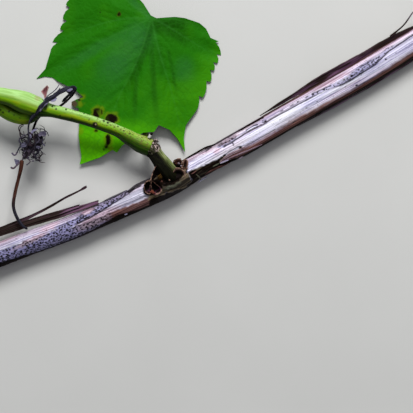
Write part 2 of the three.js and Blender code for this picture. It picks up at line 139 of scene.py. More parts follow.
class Line:
    """A smooth centripetal line through points, read by its share of length."""

    def __init__(self, points, samples=800):
        knots = np.array(points, float)
        knots = np.vstack([2 * knots[0] - knots[1], knots, 2 * knots[-1] - knots[-2]])
        spans = len(points) - 1
        at = np.linspace(0, spans, samples + 1)
        first = np.minimum(at.astype(int), spans - 1)
        part = (at - first)[:, None]
        a, b, c, d = (knots[first + k] for k in range(4))
        ab, bc, cd = (np.linalg.norm(q - p, axis=1)[:, None] ** 0.5 for p, q in ((a, b), (b, c), (c, d)))
        leave = ((b - a) / ab - (c - a) / (ab + bc) + (c - b) / bc) * bc
        arrive = ((c - b) / bc - (d - b) / (bc + cd) + (d - c) / cd) * bc
        cubic = 2 * b - 2 * c + leave + arrive
        square = -3 * b + 3 * c - 2 * leave - arrive
        self.points = b + leave * part + square * part**2 + cubic * part**3
        steps = np.linalg.norm(np.diff(self.points, axis=0), axis=1)
        self.reach = np.concatenate([[0], np.cumsum(steps)])
        self.length = self.reach[-1]

    def at(self, share):
        reach = np.asarray(share, float) * self.length
        return np.stack([np.interp(reach, self.reach, self.points[:, k]) for k in range(3)], -1)

    def heading(self, share):
        share = np.asarray(share, float)
        ahead = self.at(np.clip(share + 2e-3, 0, 1)) - self.at(np.clip(share - 2e-3, 0, 1))
        return ahead / np.linalg.norm(ahead, axis=-1, keepdims=True)

    def level_sides(self, share):
        """Across, level and to the left of the way the line runs, and up."""
        heading = self.heading(share)
        across = np.stack([-heading[:, 1], heading[:, 0], 0 * heading[:, 0]], -1)
        across /= np.linalg.norm(across, axis=1, keepdims=True)
        return across, np.cross(heading, across)

    def free_sides(self, share):
        """Across and up directions that never spin about the line."""
        heading = self.heading(share)
        across = np.empty_like(heading)
        start = np.cross([0.3, 0.2, 1.0], heading[0])
        across[0] = start / np.linalg.norm(start)
        for k in range(1, len(heading)):
            turned = across[k - 1] - heading[k] * np.dot(across[k - 1], heading[k])
            across[k] = turned / np.linalg.norm(turned)
        return across, np.cross(heading, across)


def line_gap(points, route):
    """Distance in 2D from each point to a route, and the share of the route that is nearest."""
    route = np.asarray(route, float)
    steps = np.linalg.norm(np.diff(route, axis=0), axis=1)
    reach = np.concatenate([[0], np.cumsum(steps)])
    nearest = np.full(len(points), 1e9)
    share = np.zeros(len(points))
    for k, (a, b) in enumerate(zip(route, route[1:])):
        run = b - a
        t = np.clip(((points - a) @ run) / (run @ run), 0, 1)
        gap = np.linalg.norm(points - a - t[:, None] * run, axis=1)
        closer = gap < nearest
        nearest = np.where(closer, gap, nearest)
        share = np.where(closer, (reach[k] + t * steps[k]) / reach[-1], share)
    return nearest, share


def spot_gap(points, middle):
    return np.hypot(points[:, 0] - middle[0], points[:, 1] - middle[1])


def closed(loop):
    """A loop with its first point again at its end."""
    return np.vstack([loop, loop[:1]])


def about(line, along, turn, r):
    """Points round a line, this many mm along it, turned about it from its left side upwards."""
    across, up = line.level_sides(along / line.length)
    out = across * (r * np.cos(turn))[:, None] + up * (r * np.sin(turn))[:, None]
    return line.at(along / line.length) + out


# Making pieces: the rings of a flat cut as shares of its radius, the rings of a rounded end, the angle in
# degrees up to which edges are smooth, and the thickness of loose bark in mm
CUT_RINGS = (0.0, 0.3, 0.55, 0.76, 0.9, 0.97)
ROUND_RINGS = 6
SMOOTH_UP_TO = 60
BARK_SKIN = 0.45


def select_none():
    bpy.ops.object.select_all(action="DESELECT")


def only(piece):
    select_none()
    bpy.context.view_layer.objects.active = piece
    piece.select_set(True)


def mark(piece, **values):
    """Stores a number or a triple on each of a piece's points."""
    for label, data in values.items():
        data = np.asarray(data, np.float32)
        kind, field = ("FLOAT", "value") if data.ndim == 1 else ("FLOAT_VECTOR", "vector")
        layer = piece.data.attributes.new(label, kind, "POINT")
        layer.data.foreach_set(field, data.ravel())


def grid_piece(name, rows, columns, place):
    """A grid primitive whose points are placed by a rule from their row and column."""
    select_none()
    bpy.ops.mesh.primitive_grid_add(x_subdivisions=rows, y_subdivisions=columns, size=1)
    piece = bpy.context.object
    piece.name = piece.data.name = name
    at = np.empty(len(piece.data.vertices) * 3)
    piece.data.vertices.foreach_get("co", at)
    at = at.reshape(-1, 3)
    row = np.rint((at[:, 0] + 0.5) * rows).astype(int)
    column = np.rint((at[:, 1] + 0.5) * columns).astype(int)
    points, marks = place(row, column)
    piece.data.vertices.foreach_set("co", (points * MM).ravel())
    mark(piece, **marks)
    return piece


def close_up(piece):
    """Welds the seam and the poles, and turns the faces outwards."""
    only(piece)
    bpy.ops.object.mode_set(mode="EDIT")
    bpy.ops.mesh.select_all(action="SELECT")
    bpy.ops.mesh.remove_doubles(threshold=1e-6)
    bpy.ops.mesh.dissolve_degenerate(threshold=1e-7)
    bpy.ops.mesh.normals_make_consistent(inside=False)
    bpy.ops.object.mode_set(mode="OBJECT")


def thicken(piece, thickness):
    """Gives a sheet its thickness, the same on both sides."""
    only(piece)
    shell = piece.modifiers.new("Thickness", "SOLIDIFY")
    shell.thickness = thickness * MM
    shell.offset = 0
    shell.use_even_offset = False
    bpy.ops.object.modifier_apply(modifier=shell.name)


def join(name, pieces):
    """Several pieces as one mesh."""
    select_none()
    for piece in pieces:
        piece.select_set(True)
    bpy.context.view_layer.objects.active = pieces[0]
    bpy.ops.object.join()
    whole = bpy.context.object
    whole.name = whole.data.name = name
    return whole


def ring_plan(length, rings, ends):
    """Distance along a limb, share of its radius and depth in its cut face, for each ring of points.
    An end is 0 for a flat cut, or the depth in mm of its rounding."""
    along, share, cut = list(np.linspace(0, length, rings)), [1.0] * rings, [0.0] * rings
    for last, depth in enumerate(ends):
        if depth:
            turns = np.linspace(0, math.pi / 2, ROUND_RINGS + 1)[:-1]
            extra = [(depth * (1 - math.cos(a)), math.sin(a), 0.0) for a in turns]
        else:
            extra = [(0.0, s, 1 - s) for s in CUT_RINGS]
        body = [p for p in zip(along, share, cut) if not depth or abs(p[0] - last * length) > depth]
        tail = [(abs(x - last * length), s, c) for x, s, c in extra]
        body = body + tail[::-1] if last else tail + body
        along, share, cut = map(list, zip(*body))
    return np.array(along), np.array(share), np.array(cut)


def tube(name, line, radius, rings, sides, ends=(0.6, 0.6), level=True, marks=None, flat=1.0):
    """A limb about a line. radius(along, turn, grain) gives its radius, from mm along, the turn about
    the line from its left side upwards, and the point as on a straight limb. flat squeezes it."""
    along, share, cut = ring_plan(line.length, rings, ends)
    centre = line.at(along / line.length)
    across, up = (line.level_sides if level else line.free_sides)(along / line.length)
    middle = np.full(2, line.length / 2)
    rough = radius(middle, np.zeros(2), np.zeros((2, 3)))[0]

    def place(row, column):
        turn = 2 * math.pi * column / sides - math.pi / 2
        straight = np.stack([along[row], np.cos(turn) * rough, np.sin(turn) * rough], -1)
        reach = radius(along[row], turn, straight) * share[row]
        a, b = reach * np.cos(turn), reach * np.sin(turn) * flat
        out = across[row] * np.cos(turn)[:, None] + up[row] * np.sin(turn)[:, None]
        points = centre[row] + across[row] * a[:, None] + up[row] * b[:, None]
        points[:, 2] = np.maximum(points[:, 2], LOWEST)
        values = {"grain": np.stack([along[row], a, b], -1), "cut": cut[row]}
        if marks:
            values.update(marks(points, straight, turn, out))
        return points, values

    piece = grid_piece(name, len(along) - 1, sides, place)
    close_up(piece)
    return piece


def ribbon(name, line, widths, tilts, rows, columns, curl=0.15, ragged=0.0, torn=(0.0, 0.0), seed=1,
           thickness=BARK_SKIN, rippled=0.0, marks=None):
    """A thin strip about a line, curled across and tipped by its tilt, with ragged edges and torn ends."""

    def place(row, column):
        share = row / rows
        part = column / columns - 0.5
        fibre = np.stack([share * 0, part * 9, share * 0], -1)
        tear = noise(fibre, 0.9, seed + 3, 2)
        end = (1 + tear) * (torn[0] * smooth(1 - share, 0.8, 1) - torn[1] * smooth(share, 0.8, 1))
        share = np.clip(share + end / line.length, 0, 1)
        edge = np.stack([share * line.length, np.sign(part) * 20, 0 * share], -1)
        width = along_pairs(widths, share) * (1 + ragged * noise(edge, 2.4, seed, 3))
        a = part * width
        b = curl * width * (0.25 - part**2)
        grain = np.stack([share * line.length, a, b], -1)
        b = b + rippled * noise(grain, (9, 0.7, 0.7), seed + 5, 2)
        tilt = np.radians(along_pairs(tilts, share))
        across, up = line.level_sides(share)
        level = a * np.cos(tilt) - b * np.sin(tilt)
        upright = a * np.sin(tilt) + b * np.cos(tilt)
        points = line.at(share) + across * level[:, None] + up * upright[:, None]
        points[:, 2] = np.maximum(points[:, 2], LOWEST + thickness / 2)
        values = {"grain": grain, "rim": smooth(np.abs(part), 0.36, 0.5)}
        if marks:
            values.update(marks(points, grain))
        return points, values

    piece = grid_piece(name, rows, columns, place)
    thicken(piece, thickness)
    close_up(piece)
    return piece


# Materials
# Sizes of the finishes' patterns in mm, rays a radian, and how deep the layers of a cut face lie
GRIT_SIZE = (1.0526, 0.6667, 0.6667)
GRIT_STIR = 0.769
LEAF_NET = 2.381
LEAF_CLOUD = 11.11
PAPER_MOTTLE = 71.43
RAYS = 14.0
CUT_DEPTHS = ((0.84, 0.9), (0.1, 0.14), (0.02, 0.03))


def colour(code):
    """A linear colour from sRGB hex."""
    parts = [int(code[k : k + 2], 16) / 255 for k in (1, 3, 5)]
    return [*(p / 12.92 if p <= 0.04045 else ((p + 0.055) / 1.055) ** 2.4 for p in parts), 1.0]


def add(tree, kind, settings=None, **links):
    """Adds a node, sets its own settings, and sets or links its inputs by name or number."""
    node = tree.nodes.new(kind)
    for key, value in (settings or {}).items():
        setattr(node, key, value)
    for key, value in links.items():
        at = int(key[1:]) if key[0] == "i" and key[1:].isdigit() else key.replace("_", " ")
        socket = node.inputs[at]
        if isinstance(value, bpy.types.NodeSocket):
            tree.links.new(value, socket)
        else:
            socket.default_value = value
    return node


def share_of(tree, share):
    """A number or a socket as it is, what the piece's points hold under a name, or several multiplied."""
    if isinstance(share, str):
        return add(tree, "ShaderNodeAttribute", {"attribute_name": share}).outputs["Fac"]
    if not isinstance(share, tuple):
        return share
    whole = share_of(tree, share[0])
    for part in share[1:]:
        product = {"operation": "MULTIPLY", "use_clamp": True}
        whole = add(tree, "ShaderNodeMath", product, i0=whole, i1=share_of(tree, part)).outputs[0]
    return whole


def coats(tree, shade, *layers):
    """A shade with coats over it, each of its own shade and share. A shade is a hex code, a colour
    that is already made, or two shades and the pattern that turns one into the other."""
    if isinstance(shade, str):
        shade = colour(shade)
    elif isinstance(shade, tuple):
        low, high, pattern = shade
        shade = coats(tree, low, (high, pattern))
    for over, share in layers:
        links = {"Factor": share_of(tree, share), "i6": shade, "i7": coats(tree, over)}
        shade = add(tree, "ShaderNodeMix", {"data_type": "RGBA"}, **links).outputs[2]
    return shade


def start_material(name, roughness, specular):
    made = bpy.data.materials.new(name)
    made.use_nodes = True
    shader = made.node_tree.nodes["Principled BSDF"]
    shader.inputs["Roughness"].default_value = roughness
    shader.inputs["Specular IOR Level"].default_value = specular
    return made, made.node_tree, shader


def finish(tree, shader, whole, height, depth):
    """A material's colour, and its fine relief of this depth in mm, from heights from 0 to 1."""
    bump = add(tree, "ShaderNodeBump", Height=height, Distance=depth * MM, Strength=1.0)
    tree.links.new(whole, shader.inputs["Base Color"])
    tree.links.new(bump.outputs[0], shader.inputs["Normal"])


def streaks(tree, size, detail, low, high):
    """Noise from 0 to 1 in the piece's own grain, its features of this size in mm."""
    grain = add(tree, "ShaderNodeAttribute", {"attribute_name": "grain"}).outputs["Vector"]
    at = add(tree, "ShaderNodeMapping", Vector=grain, Scale=[1 / s for s in size]).outputs[0]
    value = add(tree, "ShaderNodeTexNoise", Vector=at, Scale=1.0, Detail=detail).outputs["Fac"]
    step = {"interpolation_type": "SMOOTHSTEP"}
    return add(tree, "ShaderNodeMapRange", step, i0=value, i1=low, i2=high).outputs[0]


def cut_wood(tree, bark):
    """The bark's colour, with a cut face of pale rayed wood, brown pith and a dark ring under the bark."""
    cut = share_of(tree, "cut")
    pith, ring, face = (
        add(tree, "ShaderNodeMapRange", i0=cut, i1=low, i2=high).outputs[0] for low, high in CUT_DEPTHS
    )
    grain = add(tree, "ShaderNodeAttribute", {"attribute_name": "grain"}).outputs["Vector"]
    end = add(tree, "ShaderNodeSeparateXYZ", Vector=grain).outputs
    turn = add(tree, "ShaderNodeMath", {"operation": "ARCTAN2"}, i0=end[2], i1=end[1]).outputs[0]
    ray = add(tree, "ShaderNodeTexNoise", {"noise_dimensions": "1D"}, W=turn, Scale=RAYS, Detail=3.0)
    ray = add(tree, "ShaderNodeMapRange", i0=ray.outputs["Fac"], i1=0.4, i2=0.6).outputs[0]
    wood = coats(tree, ("#a08358", "#c6ad80", ray), ("#5a3f28", pith))
    return coats(tree, bark, (("#3a2a22", wood, ring), face))


def old_bark():
    """Weathered grapevine bark: smooth lavender-grey plates, brown fibres, gritty inner bark, and near-black
    cracks that also serve as painted shade.
    """
    made, tree, shader = start_material("Weathered grapevine bark", 0.66, 0.25)
    fibre = streaks(tree, (26, 0.42, 0.42), 3, 0.4, 0.62)
    wide = streaks(tree, (22, 1.5, 1.5), 2, 0.4, 0.6)
    dot = streaks(tree, (1.3, 0.6, 0.6), 1, 0.68, 0.76)
    # Dark specks between the grains of the inner bark, fewer where it is sparse
    grain = add(tree, "ShaderNodeAttribute", {"attribute_name": "grain"}).outputs["Vector"]
    rows = add(tree, "ShaderNodeMapping", Vector=grain, Scale=[1 / s for s in GRIT_SIZE]).outputs[0]
    stir = add(tree, "ShaderNodeTexNoise", Vector=grain, Scale=1 / GRIT_STIR, Detail=2.0).outputs["Color"]
    scaled = {"operation": "MULTIPLY_ADD"}
    rows = add(tree, "ShaderNodeVectorMath", scaled, i0=stir, i1=(0.8, 0.8, 0.8), i2=rows).outputs[0]
    cells = add(tree, "ShaderNodeTexVoronoi", Vector=rows, Scale=1.0).outputs
    gap = add(tree, "ShaderNodeMath", scaled, i0=share_of(tree, "sparse"), i1=0.13, i2=cells["Distance"])
    speck, pale_grain = (
        add(tree, "ShaderNodeMapRange", i0=value, i1=low, i2=high).outputs[0]
        for value, low, high in ((gap.outputs[0], 0.42, 0.64), (cells["Color"], 0.7, 0.9))
    )
    most = {"operation": "MAXIMUM", "use_clamp": True}
    speck = add(tree, "ShaderNodeMath", most, i0=speck, i1=pale_grain).outputs[0]

    plate = coats(
        tree, ("#9c98c0", "#eeeaff", fibre), ("#ffffff", (wide, 0.5)),
        (("#5e5a78", "#b8b2cc", fibre), "dull"), (("#8c7080", "#dcc4d6", fibre), "pink"),
        ("#30283a", (dot, 0.75)),
    )
    brown = coats(
        tree, ("#2e1616", "#966660", fibre), ("#b88c7c", (wide, 0.16)),
        (("#422a2a", "#886462", fibre), ("pink", 0.8)),
    )
    grit = coats(tree, ("#625f88", "#928eb8", fibre), ("#8c7880", ("pink", 0.85)), ("#b6b0ce", "sparse"))
    whole = coats(
        tree, plate, (brown, "brown"), (("#0c0a12", grit, speck), "inner"),
        (("#241c12", "#84745a", wide), "node"), (("#5c6250", "#98988c", dot), "scurf"),
        # The near-black of the cracks, also laid on as painted shade
        (("#040303", "#1c120c", fibre), "crack"),
    )
    matt = add(tree, "ShaderNodeMath", most, i0=share_of(tree, "crack"), i1=share_of(tree, "brown"))
    shine = add(tree, "ShaderNodeMapRange", i0=matt.outputs[0], i3=0.25, i4=0.04)
    tree.links.new(shine.outputs[0], shader.inputs["Specular IOR Level"])
    rough = add(tree, "ShaderNodeMath", {"operation": "ADD", "use_clamp": True}, i0=fibre, i1=speck)
    finish(tree, shader, cut_wood(tree, whole), rough.outputs[0], 0.12)
    return made


def loose_bark():
    """Dead outer bark that has come away in strips: dark purple-brown fibres with paler torn edges."""
    made, tree, shader = start_material("Peeled grapevine bark", 0.8, 0.1)
    fibre = streaks(tree, (16, 0.34, 0.34), 3, 0.35, 0.65)
    blotch = streaks(tree, (14, 1.8, 1.8), 2, 0.42, 0.6)
    whole = coats(
        tree, ("#0e0808", "#30211f", fibre), (("#42263a", "#70506a", fibre), (blotch, "wine")),
        ("#545040", ("rim", 0.4)), ("#9c90a0", "pale"),
    )
    finish(tree, shader, whole, fibre, 0.12)
    return made


def green_bark():
    """Soft green bark of a young shoot: waxy, faintly ribbed, with dark lenticels, browner age, painted sheen
    on its upper side and painted shade beneath.
    """
    made, tree, shader = start_material("Green shoot bark", 0.5, 0.12)
    rib = streaks(tree, (26, 0.9, 0.9), 2, 0.3, 0.7)
    fleck = streaks(tree, (0.8, 0.5, 0.5), 2, 0.54, 0.62)
    scurf = streaks(tree, (1.1, 0.7, 0.7), 3, 0.47, 0.56)
    mottle = streaks(tree, (8, 2, 2), 3, 0.4, 0.6)
    whole = coats(
        tree, ("#5a8c04", "#78a80c", rib), ("#8c9a0c", (mottle, 0.6)),
        # A painted sheen on the side towards the light, then painted shade on the side away from it and in
        # shadows
        (("#88b05c", "#a2cc7e", rib), "pale"),
        (("#102600", "#2c4e00", rib), "deep"), (("#6c7c14", "#9c9468", scurf), "aged"),
        ("#54401c", (fleck, "flaky")), ("#946c5c", "blush"), ("#14100a", "fleck"), ("#c4b48c", "scab"),
    )
    finish(tree, shader, cut_wood(tree, whole), rib, 0.06)
    return made


def brown_bark():
    """Young bark that has begun to brown: olive, corky and lightly wrinkled along the limb, with painted
    light on its lit side and painted shade on the other.
    """
    made, tree, shader = start_material("Browning shoot bark", 0.75, 0.1)
    rib = streaks(tree, (7, 0.45, 0.45), 3, 0.38, 0.64)
    cork = streaks(tree, (1, 0.7, 0.7), 2, 0.46, 0.6)
    # The second coat is painted light on the side towards the light; deep below is painted shade
    whole = coats(
        tree, ("#1e200c", "#40481f", rib), (("#5a6a36", "#949c68", rib), "lit"),
        (("#2c221c", "#b8a4a0", cork), "flaky"), (("#060502", "#191a0a", rib), "deep"),
        ("#e0e0d8", "white"),
    )
    rough = add(tree, "ShaderNodeMath", {"operation": "ADD", "use_clamp": True}, i0=rib, i1=cork)
    finish(tree, shader, whole, rough.outputs[0], 0.15)
    return made


def leaf_blade():
    """A grape leaf's upper face: satin green, puckered between its veins, scorched round its holes, with
    painted shade in its folds and a painted bluish sky reflection.
    """
    made, tree, shader = start_material("Grape leaf blade", 0.6, 0.03)
    at = add(tree, "ShaderNodeTexCoord").outputs["Object"]
    edges = {"feature": "DISTANCE_TO_EDGE"}
    cells = add(tree, "ShaderNodeTexVoronoi", edges, Vector=at, Scale=1 / (LEAF_NET * MM))
    net = add(tree, "ShaderNodeMapRange", i0=cells.outputs["Distance"], i1=0.0, i2=0.25).outputs[0]
    within = add(tree, "ShaderNodeMapRange", i0=net, i1=0.0, i2=1.0, i3=0.8).outputs[0]
    cloud = add(tree, "ShaderNodeTexNoise", Vector=at, Scale=1 / (LEAF_CLOUD * MM), Detail=3.0)
    green = coats(
        # The bluish coat is a painted sky reflection, and the darkest green is painted shade in the folds
        tree, ("#185a02", "#206a06", cloud.outputs["Fac"]), ("#266226", "bloom"), ("#56b004", "young"),
        ("#0b3400", "deep"),
    )
    whole = coats(
        tree, "#22700e", (green, within), ("#34782a", "vein"), ("#74840a", "yellow"),
        (("#120b05", "#4a382e", "dry"), "dead"),
    )
    finish(tree, shader, whole, net, 0.06)
    return made


def dry_scale():
    """Dead bud scale: papery brown, with near-black painted shade inside its cup and on its shaded side, and
    a bleached rim.
    """
    made, tree, shader = start_material("Dried bud scale", 0.8, 0.15)
    fibre = streaks(tree, (5, 0.4, 0.4), 3, 0.35, 0.65)
    whole = coats(
        tree, ("#180d0a", "#56382e", fibre), (("#5c2c20", "#964e3a", fibre), "rusty"),
        # The near-black coat is painted shade
        (("#4c3008", "#8a6422", fibre), "amber"), ("#582c48", "wine"), ("#050303", "dark"),
        (("#664a3c", "#ac8a78", fibre), "rim"), (("#a898b0", "#d4c8d8", fibre), "pale"),
    )
    finish(tree, shader, whole, fibre, 0.12)
    return made


def dry_tendril():
    """A tendril that has died back: thin wrinkled wood, from red-brown to grey-black, with pale patches that
    are partly painted highlight.
    """
    made, tree, shader = start_material("Dead tendril wood", 0.75, 0.08)
    fibre = streaks(tree, (5, 0.3, 0.3), 3, 0.35, 0.65)
    whole = coats(
        tree, ("#060609", "#262630", fibre), (("#1e0e0a", "#553226", fibre), "rusty"),
        (("#5c5870", "#9c98b6", fibre), "pale"),
    )
    finish(tree, shader, whole, fibre, 0.12)
    return made


def bract_skin():
    """A dead bract: thin red-brown skin, paler along its veins."""
    made, tree, shader = start_material("Dried bract", 0.7, 0.2)
    fibre = streaks(tree, (6, 0.35, 0.35), 2, 0.35, 0.65)
    finish(tree, shader, coats(tree, ("#4c2228", "#925a60", fibre), ("#c09c94", ("rim", 0.5))), fibre, 0.1)
    return made


def floor_paper():
    """A sheet of pale studio paper: matt, with the faintest mottle."""
    made, tree, shader = start_material("Studio paper", 0.95, 0.1)
    at = add(tree, "ShaderNodeTexCoord").outputs["Object"]
    cloud = add(tree, "ShaderNodeTexNoise", Vector=at, Scale=1 / (PAPER_MOTTLE * MM), Detail=4.0)
    tree.links.new(coats(tree, ("#bdbdba", "#c6c6c3", cloud.outputs["Fac"])), shader.inputs["Base Color"])
    return made


MATERIALS = {
    "bark": old_bark(),
    "loose_bark": loose_bark(),
    "green_bark": green_bark(),
    "brown_bark": brown_bark(),
    "leaf_blade": leaf_blade(),
    "dry_scale": dry_scale(),
    "bract": bract_skin(),
    "tendril": dry_tendril(),
}


def dress(piece, slot_name, node):
    """Finishes a piece: its material, its shading, the body it rides on and the node it stands for."""
    piece.data.materials.clear()
    piece.data.materials.append(MATERIALS[slot_name])
    only(piece)
    bpy.ops.object.shade_smooth_by_angle(angle=math.radians(SMOOTH_UP_TO))
    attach(piece, "root")
    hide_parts(node)
    return piece


# The old cane
CANE_R = (5.6, 5.4)
NODE_AT = 0.41
NODE_SWELL = 1.3
LOOSE_SIDE = 1.15
CANE_LINE = Line([
    [-100.1, -60.2, 5.7], [-81.7, -52.9, 5.7], [-59.2, -44.5, 5.7], [-34.4, -33.5, 5.7],
    [-16.4, -25.3, 5.7], [-2.9, -17, 5.7], [22.5, -2.3, 5.6], [66.9, 22.9, 5.5], [99.5, 42.4, 5.5],
])

# Borders of the plates of bark, as pixels of the photo, from left to right
CRACK_RIGHT = [
    (221.5, 148.4), (225, 146), (230, 143.4), (235, 140), (240, 136.8), (245, 133.2), (250, 130.5),
    (258, 126.8), (264, 124), (270, 119.5), (280, 114), (290, 108.8), (300, 103), (315, 95.5),
    (331.6, 88.4), (340.2, 85.8), (348.8, 81.6), (355.1, 77.5), (365, 71), (375, 64.5), (380, 59.5),
    (390, 50), (400, 43.5), (407, 38.5),
]
FLAP_EDGE = [
    (256, 122), (262, 118), (275, 110.2), (300, 96.2), (330, 78.8), (360, 61.6), (395, 40.4), (413, 29.6),
]
LENS_TOP = [
    (303.3, 99.4), (310, 94.5), (320, 90), (330, 84.8), (344.9, 79), (352, 72.5), (360, 66), (370, 60),
    (376.3, 56.5), (386.5, 48.6), (394.3, 44.5),
]
BROWN_TOP = [
    (226, 155.5), (232, 151.5), (240, 147.8), (250, 143.8), (262, 138), (270, 133.6), (280, 127.5),
    (290, 121.5), (310, 110.5), (330, 100.5), (350, 89.2), (370, 77), (390, 65), (413, 50.6),
]
CRACK_LEFT = [
    (74, 225.6), (80, 222.4), (90, 217.6), (100, 211.6), (110, 205.2), (120, 198.6), (128, 193.4),
    (135, 188.4), (143, 183),
]
# The border below which the lower side is painted near-black as shade
LOW_SHADE_BORDER = [
    (0, 262.4), (20, 257), (40, 251.5), (60, 244), (80, 236), (90, 231.6), (100, 226.5), (110, 219.5),
    (118, 214.8), (125, 213), (140, 208.4), (150, 204.6), (158, 200),
]
GRIT_LEFT = [
    (-8, 253.5), (0, 250.5), (10, 247), (20, 243.4), (30, 240), (40, 236.4), (48, 233.4), (54, 230.4),
    (60, 226), (66, 222.4), (72, 219), (80, 214.6), (86, 214), (90, 211.6), (96, 206.5), (96, 198),
    (116, 188), (132, 182), (134, 189), (128, 193.5), (120, 198.6), (110, 205.2), (100, 211.6), (90, 217.6),
    (80, 222.8), (70, 228.5), (80, 225), (90, 222), (100, 217.4), (110, 213), (116, 224), (100, 232),
    (80, 242), (45, 256), (0, 274), (-8, 276),
]
BROWN_LEFT = [
    (72, 228.4), (80, 225.2), (90, 222.2), (100, 217.6), (110, 212.6), (120, 208.8), (130, 205.2),
    (140, 201.8), (148, 198.2), (156, 195), (160, 204), (150, 213), (125, 226), (100, 238), (84, 240),
    (76, 234),
]
TOP_EDGE = [
    (186, 157.4), (195, 152.9), (205, 147.9), (213, 144.6), (225, 137.6), (240, 129.2), (250, 123.6),
    (262, 117),
]
DOTTED = [(266, 119.5), (283, 109.6), (290, 106), (297, 102), (303, 99), (313, 92.8), (330, 85.6)]
# Fine dark lines on the plates: route, half-width in pixels and strength
THIN_LINES = [
    ([(84, 221.4), (100, 214.6), (118, 206.4), (140, 196)], 0.5, 0.35),
    ([(108, 211.6), (125, 204.6), (146, 196)], 0.55, 0.6),
    ([(116, 208.6), (134, 201.6), (150, 195)], 0.45, 0.5),
    ([(102, 212), (118, 204), (132, 196.4)], 0.4, 0.3),
    ([(226, 154.4), (230, 151.6), (235, 149), (239, 146.6)], 0.6, 0.75),
    ([(242, 146.8), (252, 142.4), (262, 137.4), (275, 130)], 0.5, 0.5),
    ([(206, 162.6), (216, 157), (226, 151.6)], 0.7, 0.35),
    ([(198, 164.4), (210, 157.4), (222, 151)], 0.5, 0.28),
    ([(246, 130.2), (250, 128), (253.5, 125.6), (257.5, 124.4)], 0.6, 0.95),
    ([(232.5, 142.8), (233.4, 145.4)], 0.5, 0.9),
    ([(199, 153.4), (206, 150.4), (215, 146.4)], 1.1, 0.32),
    ([(276, 125.5), (300, 112), (330, 96), (360, 80)], 0.5, 0.3),
    ([(0, 248.4), (20, 241.4), (44, 233)], 0.5, 0.3),
    ([(190.3, 182), (185, 185.8), (180, 187.8), (169, 190.4), (162, 193)], 0.7, 0.6),
    ([(189, 173.6), (190.6, 177), (192.4, 181)], 0.7, 0.9),
]
GRIT_PATCHES = [
    (222, 144, 7, 3), (231, 139, 6, 2.8), (208, 149, 5, 1.4), (264, 121.4, 3, 1.6), (352, 75.5, 6, 3),
]
PINK_PATCHES = [
    (187.4, 174.6, 3, 1.6), (207, 151, 10, 1.8), (217, 150.4, 5, 2.4), (50, 226.5, 12, 3), (331, 81, 26, 3),
    (88, 211, 8, 3), (30, 241, 20, 2.6), (12, 237, 20, 2), (98, 219, 26, 6.4), (228, 139.8, 14, 2),
]
DULL_PATCHES = [
    (64, 222.4, 17, 4.4, 0.9), (88, 211.6, 10, 3.4, 0.9), (104, 202, 10, 2, 0.9), (98, 219, 24, 6, 0.9),
    (204, 160, 18, 7, 0.3), (350, 84, 40, 6, 0.25), (204, 152.5, 20, 2.6, 0.45), (330, 85, 60, 4, 0.3),
    (16, 238, 28, 2.6, 0.8), (46, 226, 20, 3, 0.85),
]
DARK_SPOTS = [
    (240.5, 147.8, 1.5), (232, 138.6, 1), (356.5, 85.5, 0.9), (224.8, 155.6, 1.3), (306.5, 108.3, 0.7),
    (386, 59.5, 0.8), (352, 75.6, 1.3), (344, 79.4, 0.9), (297.6, 101.6, 0.8), (265, 121, 1.2),
    (313, 94, 1), (324, 89, 0.9), (372, 61.5, 0.8), (225.4, 142, 1),
]

# Round the node: pits under the husk and the foot of the shoot, a collar, and broken bark beside it
NODE_WAY = np.array([0.891, -0.454])
FOOT_PIT = (171, 177, 12.6, 7.4)
PITS = [((152.5, 187.4, 9.6, 7.2), 3.3), (FOOT_PIT, 2.5), ((180, 163.6, 5.5, 3), 0.9)]
COLLAR = [
    (150, 178), (158, 168), (170, 162), (180, 158), (186, 158), (187.6, 166), (187, 171), (189.6, 176),
    (192.6, 181), (189.8, 184), (185, 187.6), (177.6, 190.6), (170, 192.4), (162.5, 195.4), (154, 200),
    (148, 200), (149, 195), (147, 188),
]
# Painted shade on the lower side below the collar
SHADE_BELOW_COLLAR = [
    (150, 200), (156, 197), (162.5, 194.6), (170, 191.8), (177.6, 189.8), (185, 186.8), (189.6, 183.2),
    (193, 180), (204, 185), (198, 196), (186, 204), (166, 214), (146, 220),
]
BROKEN = [
    (188.4, 172.4), (192, 170.4), (196, 168.8), (200, 167.2), (210, 163.2), (220, 158.2), (226, 155),
    (225, 157.4), (221, 160), (219, 163), (226, 161), (234, 159), (243, 156), (242, 162), (226, 171),
    (208, 182), (200, 190), (192, 192), (190, 184.4), (193, 180.6), (191, 177),
]
WEDGE = [
    (218, 164), (221, 159.6), (226, 155.6), (234, 151.6), (246, 147), (248, 152), (243, 156.6),
    (232, 161.4),
]
TOP_LEFT = [(124, 192), (135, 186), (150, 176), (153, 179.4), (146, 183), (138, 187.6), (129, 193)]
